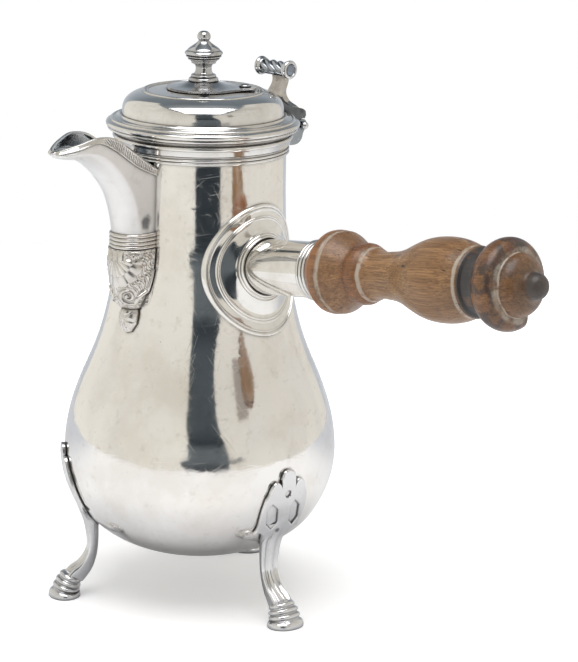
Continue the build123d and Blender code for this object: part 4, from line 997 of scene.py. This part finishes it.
def leg_plate_mesh():
    """Pierced plate as a flat curve with rounded edges, cut fine enough to bend."""
    cu = bpy.data.curves.new("leg_plate_flat", "CURVE")
    cu.dimensions = "2D"
    cu.fill_mode = "BOTH"
    for pts in [leg_outline()] + [w[2] for w in leg_windows()]:
        sp = cu.splines.new("POLY")
        sp.points.add(len(pts) - 1)
        for p, (x, z) in zip(sp.points, pts):
            p.co = (x, z, 0, 1)
        sp.use_cyclic_u = True
    cu.extrude = 0.42
    cu.bevel_depth = 0.50
    cu.bevel_resolution = 3
    cu.offset = -0.44
    tmp = bpy.data.objects.new("leg_plate_flat", cu)
    bpy.context.scene.collection.objects.link(tmp)
    dg = bpy.context.evaluated_depsgraph_get()
    mesh = bpy.data.meshes.new_from_object(tmp.evaluated_get(dg))
    bpy.data.objects.remove(tmp)
    bpy.data.curves.remove(cu)
    bm = bmesh.new()
    bm.from_mesh(mesh)
    bpy.data.meshes.remove(mesh)
    bmesh.ops.remove_doubles(bm, verts=bm.verts, dist=1e-5)
    for axis, lo, hi in ((0, -11, 11), (1, 36, 67)):
        v = lo
        while v <= hi:
            co = [0, 0, 0]
            no = [0, 0, 0]
            co[axis] = v + 0.013
            no[axis] = 1
            geom = list(bm.verts) + list(bm.edges) + list(bm.faces)
            bmesh.ops.bisect_plane(bm, geom=geom, dist=1e-5, plane_co=co, plane_no=no)
            v += 1.6
    return bm


def make_leg(name, angle, mat):
    ca, sa = cos(radians(angle)), sin(radians(angle))

    def place(x, y, z):
        return (x * ca - y * sa, x * sa + y * ca, z)

    mesh = bpy.data.meshes.new(name + "_cast")
    out = bmesh.new()
    # plate bent over the belly
    flat = leg_plate_mesh()
    remap = {}
    for v in flat.verts:
        y, z, t = v.co.x, v.co.y, v.co.z
        thick = 0.98 + t
        thick += 0.22 * smooth(abs(y), 0.0, 9.0) * 0.0
        R = vessel_r(z)
        nr, nz = vessel_normal(z)
        r = R + thick * nr
        zz = z + thick * nz
        th = y / R
        remap[v] = out.verts.new(place(r * cos(th), r * sin(th), zz))
    for f in flat.faces:
        try:
            out.faces.new([remap[v] for v in f.verts])
        except ValueError:
            pass
    flat.free()

    # lining of the windows and the hole, so they are shallow
    def lining(cx, cz, pts, level):
        prev = None
        n = len(pts)
        for q in (0.0, 0.25, 0.5, 0.75, 1.0, 1.0):
            lift = level if prev is None or q < 1.0 or not lining_done else -0.3
            row = []
            for k in range(n if q > 0 else 1):
                y, z = (cx + (pts[k][0] - cx) * q * 1.1, cz + (pts[k][1] - cz) * q * 1.1) if q > 0 else (cx, cz)
                R = vessel_r(z)
                nr, nz = vessel_normal(z)
                r, zz, th = R + lift * nr, z + lift * nz, y / R
                row.append(out.verts.new(place(r * cos(th), r * sin(th), zz)))
            if prev is not None:
                for k in range(n):
                    k2 = (k + 1) % n
                    if len(prev) == 1:
                        out.faces.new((prev[0], row[k], row[k2]))
                    else:
                        out.faces.new((prev[k], row[k], row[k2], prev[k2]))
            if q == 1.0:
                lining_done.append(1)
            prev = row
        R = vessel_r(cz)
        nr, nz = vessel_normal(cz)
        back = out.verts.new(place((R - 0.3 * nr) * cos(cx / R), (R - 0.3 * nr) * sin(cx / R), cz - 0.3 * nz))
        for k in range(n):
            out.faces.new((back, prev[(k + 1) % n], prev[k]))

    for cx, cz, pts in leg_windows():
        lining_done = []
        lining(cx, cz, pts, 0.95)

    def skin(rings, cap=True):
        rows = [[out.verts.new(place(*p)) for p in ring] for ring in rings]
        n = len(rows[0])
        for ra, rb in zip(rows[:-1], rows[1:]):
            for k in range(n):
                out.faces.new((ra[k], ra[(k + 1) % n], rb[(k + 1) % n], rb[k]))
        if cap:
            for row in (rows[0], rows[-1]):
                c = sum((v.co for v in row), Vector()) / n
                cv = out.verts.new(c)
                for k in range(n):
                    out.faces.new((cv, row[k], row[(k + 1) % n]))

    # stem with a middle ridge between two hollows
    rows = eased(STEM, 7)
    half = eased(STEM_SHAPE, 3)
    rings = []
    for i, (ix, iz, ox, oz, w) in enumerate(rows):
        f = i / (len(rows) - 1)
        deep = smooth(f, 0.02, 0.25) * (1 - 0.5 * smooth(f, 0.85, 1.0))
        ux, uz = ox - ix, oz - iz
        side = []
        for u, q in half:
            plain = 1.0 - 0.18 * q * q if u > 0.5 else u
            uu = u if u <= 0.5 else plain + (u - plain) * deep
            side.append((ix + ux * uu, q * w, iz + uz * uu))
        ring = side + [(x, -y, z) for x, y, z in side[::-1][1:-1]]
        rings.append(ring)
    skin(rings)
    # hoof: sole, three ridges and the ankle, all oval and leaning
    stack = [(57.5, 0.0, 6.2, 7.7, 0), (57.5, 0.05, 6.55, 8.0, 0), (57.5, 0.5, 6.65, 8.1, 0), (57.45, 1.5, 6.6, 8.0, 1), (57.4, 2.1, 6.3, 7.7, 3),
             (57.2, 2.5, 5.75, 7.1, 7), (57.05, 2.8, 5.1, 6.4, 10), (56.95, 3.1, 5.1, 6.4, 12), (56.85, 3.5, 5.6, 6.9, 13), (56.7, 4.0, 5.75, 7.05, 14),
             (56.5, 4.5, 5.55, 6.85, 15), (56.35, 4.9, 4.85, 6.2, 16), (56.2, 5.2, 4.8, 6.15, 17), (56.05, 5.6, 5.3, 6.65, 18), (55.85, 6.15, 5.45, 6.8, 19),
             (55.6, 6.65, 5.2, 6.5, 20), (55.4, 7.05, 4.45, 5.7, 21), (55.25, 7.35, 4.4, 5.6, 22), (55.1, 7.75, 4.75, 5.85, 22), (54.9, 8.2, 4.85, 5.9, 23),
             (54.65, 8.65, 4.6, 5.6, 24), (54.3, 9.1, 4.0, 5.0, 26), (53.9, 9.5, 3.0, 4.0, 28)]
    rings = []
    for cx, cz, ra, rb, lean in eased(stack, 2):
        cl, sl = cos(radians(lean)), sin(radians(lean))
        rings.append([(cx + ra * cos(a) * cl, rb * sin(a), max(cz + ra * cos(a) * sl, 0.0)) for a in [2 * pi * k / 72 for k in range(72)]])
    skin(rings)
    bmesh.ops.remove_doubles(out, verts=out.verts, dist=1e-4)
    bmesh.ops.recalc_face_normals(out, faces=out.faces)
    for v in out.verts:
        v.co *= MM
    out.to_mesh(mesh)
    out.free()
    for p in mesh.polygons:
        p.use_smooth = True
    mesh.set_sharp_from_angle(angle=radians(38))
    mesh.materials.append(mat)
    obj = bpy.data.objects.new(name + "_cast", mesh)
    bpy.context.scene.collection.objects.link(obj)
    return obj


# --------------------------------------------------------------- thumbpiece
ROLL = Vector((41.2, 0.0, 220.9))


def make_roll(mat):
    """Roll with slanting lobes, waisted between its discs."""
    profile = []
    n = 90
    for i in range(n + 1):
        t = -7.4 + 14.8 * i / n
        profile.append((2.72 + 0.10 * cos(t * 0.42), t))

    def shape(r, t, a):
        lobe = abs(sin(2.5 * a + 0.72 * t))
        end = smooth(7.4 - abs(t), 0.0, 0.8)
        return r - 0.60 + (1.0 * lobe ** 0.6) * end

    return lathe("thumb_roll_lobed", profile, ROLL, (1, 0, 0), (0, 0, 1), (0, 1, 0), mat, seg=126, shape=shape)


def make_disc(name, side, mat, eye):
    prof = [(0.0, 6.2), (2.9, 6.2), (3.25, 6.4), (3.45, 6.8), (3.55, 7.3), (3.72, 7.7), (3.92, 8.15), (3.94, 8.6), (3.72, 8.98), (3.4, 9.2), (3.0, 9.28), (2.72, 9.2),
            (2.55, 9.0), (2.42, 8.86), (2.28, 8.95), (2.1, 9.1), (1.7, 9.24), (1.1, 9.34), (0.5, 9.38), (0.02, 9.39)]
    prof = [(max(r, 0.02), side * t) for r, t in eased(prof, 3)]
    obj = lathe(name, prof, ROLL, (1, 0, 0), (0, 0, 1), (0, 1, 0), mat, seg=72)
    obj.data.materials.append(eye)
    for p in obj.data.polygons:
        c = p.center / MM
        if hypot(c.x - ROLL.x, c.z - ROLL.z) < 2.4 and abs(c.y) > 8.5:
            p.material_index = 1
    return obj


# -------------------------------------------------------------------- knop
KNOP = [(0.02, 226.85), (4.6, 226.85), (4.95, 227.1), (5.3, 227.55), (5.35, 227.9), (5.9, 228.08), (6.4, 228.38), (6.5, 228.72), (6.12, 229.02),
        (6.85, 229.25), (7.25, 229.5), (7.28, 229.82), (6.72, 230.12), (7.4, 230.35), (7.75, 230.65), (7.8, 231.0), (7.6, 231.4), (7.2, 231.8),
        (6.8, 232.02), (6.55, 232.12), (6.6, 232.38), (6.25, 232.75), (5.7, 233.2), (5.05, 233.65), (4.35, 234.1), (3.7, 234.55), (3.1, 235.0),
        (2.6, 235.45), (2.25, 235.82), (2.1, 236.05), (2.3, 236.3), (2.58, 236.75), (2.74, 237.3), (2.74, 237.9), (2.52, 238.6), (2.05, 239.25),
        (1.25, 239.77), (0.02, 240.0)]


def make_knop(mat):
    """Turned knop: three reeds, a hollow cone and a small ball."""
    prof = [(max(r, 0.02), min(max(z, 226.85), 240.0)) for r, z in eased(KNOP, 3)]
    return lathe("finial_knop_turned", prof, (0, 0, 0), (1, 0, 0), (0, 1, 0), (0, 0, 1), mat, seg=96)


# ------------------------------------------------------------------- build
make_camera()
make_world()
make_floor()
bpy.context.scene.view_settings.view_transform = "Standard"
bpy.context.scene.view_settings.look = "None"

m_body = silver("silver_body", stain_amount=0.36, dirt_and_shade=0.8, dirt_and_shade_reach=0.0016, scratch=1.05, wrap=True)
m_lid = silver("silver_lid", light=(0.84, 0.83, 0.81), dark=(0.72, 0.70, 0.67), rough=0.085, wave=1.2, dirt_and_shade=0.88, dirt_and_shade_reach=0.0022)
m_rim = silver("silver_rim", light=(0.80, 0.79, 0.77), dark=(0.66, 0.635, 0.60), rough=0.11, wave=0.5, dirt_and_shade=0.94, dirt_and_shade_reach=0.0024)
m_eye = silver("silver_eye", light=(0.27, 0.31, 0.36), dark=(0.12, 0.145, 0.175), rough=0.34, wave=0.3, dirt_and_shade=0.9, dirt_and_shade_reach=0.0016, grit=2.2,
               stain_amount=0.6, stain_tone=(0.05, 0.06, 0.075), dirt_and_shade_tone=(0.012, 0.013, 0.016))
m_finial = silver("silver_finial", light=(0.70, 0.705, 0.715), dark=(0.46, 0.455, 0.45), rough=0.085, wave=0.5, dirt_and_shade=0.95, dirt_and_shade_reach=0.0028, grit=0.5,
                  stain_amount=0.5, stain_tone=(0.30, 0.285, 0.27), dirt_and_shade_tone=(0.030, 0.031, 0.034), dent=0.05)
# thumb stem: aged, dulled silver whose warm brown base also carries a painted reflection
m_dark = silver("silver_aged_warm_reflection", light=(0.60, 0.57, 0.54), dark=(0.30, 0.28, 0.265), rough=0.13, wave=0.8, dirt_and_shade=0.95, dirt_and_shade_reach=0.0034, grit=0.5,
                stain_amount=0.6, stain_tone=(0.16, 0.14, 0.125), dirt_and_shade_tone=(0.018, 0.019, 0.021), dent=0.9)
# painted shade: near-black copy of the silver for the hinge leaf in the shadow under the lid
m_hinge_shaded = silver("silver_hinge_painted_shade", light=(0.17, 0.18, 0.195), dark=(0.055, 0.06, 0.066), rough=0.16, wave=0.8, dirt_and_shade=0.97, dirt_and_shade_reach=0.0040, grit=0.8,
                 stain_amount=0.7, stain_tone=(0.06, 0.062, 0.07), dirt_and_shade_tone=(0.012, 0.013, 0.016), dent=1.1)
m_roll = silver("silver_roll", light=(0.50, 0.53, 0.565), dark=(0.25, 0.27, 0.295), rough=0.12, wave=0.5, dirt_and_shade=0.98, dirt_and_shade_reach=0.0032, grit=0.4,
                stain_amount=0.5, stain_tone=(0.16, 0.17, 0.18), dirt_and_shade_tone=(0.014, 0.015, 0.018), dent=0.25)
m_bracket = silver("silver_bracket", light=(0.38, 0.415, 0.455), dark=(0.20, 0.22, 0.245), rough=0.16, wave=0.8, dirt_and_shade=0.97, dirt_and_shade_reach=0.0036, grit=0.6,
                   stain_amount=0.6, stain_tone=(0.12, 0.13, 0.145), dirt_and_shade_tone=(0.014, 0.015, 0.018), dent=0.9)
m_spout = silver("silver_spout", light=(0.90, 0.895, 0.89), dark=(0.84, 0.835, 0.83), rough=0.44, wave=0.35, dirt_and_shade=0.85, dirt_and_shade_reach=0.0030, grit=0.15,
                 smudge=SMUDGE)
# painted shade: darker blue-grey copy of the silver for the spout's inside and rolled lip
m_throat_shaded = silver("silver_throat_painted_shade", light=(0.62, 0.66, 0.71), dark=(0.44, 0.475, 0.515), rough=0.27, wave=0.5, dirt_and_shade=0.60, dirt_and_shade_reach=0.0009, grit=0.3,
                  stain_amount=0.45, stain_tone=(0.26, 0.28, 0.305), dirt_and_shade_tone=(0.040, 0.045, 0.052))
m_border = silver("silver_chased", light=(0.76, 0.745, 0.715), dark=(0.52, 0.50, 0.465), rough=0.18, wave=0.2, dirt_and_shade=0.97, dirt_and_shade_reach=0.0013, grit=0.4)
m_orn = silver("silver_cast", light=(0.76, 0.735, 0.70), dark=(0.56, 0.53, 0.49), rough=0.21, wave=0.2, dirt_and_shade=0.97, dirt_and_shade_reach=0.0022, grit=0.5)
m_reed = silver("silver_reeded", light=(0.80, 0.78, 0.75), dark=(0.64, 0.61, 0.57), rough=0.14, wave=0.2, dirt_and_shade=0.97, dirt_and_shade_reach=0.0026, grit=0.3)
# painted shade: a dark spot on each leg stands for its small bottom hole, which is not modelled
painted_hole_spots = [((0.0522 * cos(radians(a)) + 0.0008 * sin(radians(a)), 0.0522 * sin(radians(a)) - 0.0008 * cos(radians(a)), 0.0402), 0.0016, 0.0002)
             for a in LEGS.values()]
m_leg = silver("silver_leg", light=(0.78, 0.78, 0.785), dark=(0.64, 0.64, 0.645), rough=0.17, wave=0.5, dirt_and_shade=0.88, dirt_and_shade_reach=0.0017, smudge=painted_hole_spots)
m_plate = silver("silver_plate", light=(0.86, 0.845, 0.815), dark=(0.75, 0.725, 0.68), rough=0.075, wave=0.5, dirt_and_shade=0.92, dirt_and_shade_reach=0.0014)
m_wood = wood("fruitwood_waxed")
by_node = {
    "wood_handle": m_wood, "body_shell": m_body, "neck_rim": m_rim, "spout_collar": m_reed, "socket_ring": m_rim, "handle_socket": m_plate,
    "hinge_bracket": m_bracket, "hinge_leaf": m_hinge_shaded, "thumb_stem": m_dark, "hinge_pin": m_finial, "lid_dome": m_lid, "lid_moulding": m_rim,
    "lid_crown_wire": m_rim, "swivel_rivet": m_finial, "swivel_washer": m_rim, "swing_plate": m_finial, "finial_stem": m_finial,
    "finial_knop": m_finial}
for name, obj in frame["nodes"].items():
    obj.data.materials.clear()
    obj.data.materials.append(by_node.get(name, m_body))


def add_piece(obj, body, nodes):
    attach(obj, body)
    if nodes:
        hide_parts(*nodes)
    return obj


add_piece(make_spout(m_spout, m_throat_shaded), "pot", ["spout_body"])
add_piece(make_border("spout_border_near", -1, m_border, m_throat_shaded), "pot", ["spout_border_front"])
add_piece(make_border("spout_border_far", 1, m_border, m_throat_shaded), "pot", ["spout_border_back"])
add_piece(make_shell(m_orn), "pot", ["shell_ornament", "scroll_front", "scroll_back"])
add_piece(make_leaf(m_orn), "pot", ["leaf_drop"])
add_piece(make_plate(m_plate), "pot", ["handle_plate"])
for leg, angle in LEGS.items():
    add_piece(make_leg(leg, angle, m_leg), "pot", [leg])
add_piece(make_knop(m_finial), "finial", ["finial_knop"])
add_piece(make_roll(m_roll), "lid", ["thumb_roll"])
add_piece(make_disc("thumb_cap_front", -1, m_finial, m_eye), "lid", ["thumb_disc_front"])
add_piece(make_disc("thumb_cap_back", 1, m_finial, m_eye), "lid", ["thumb_disc_back"])
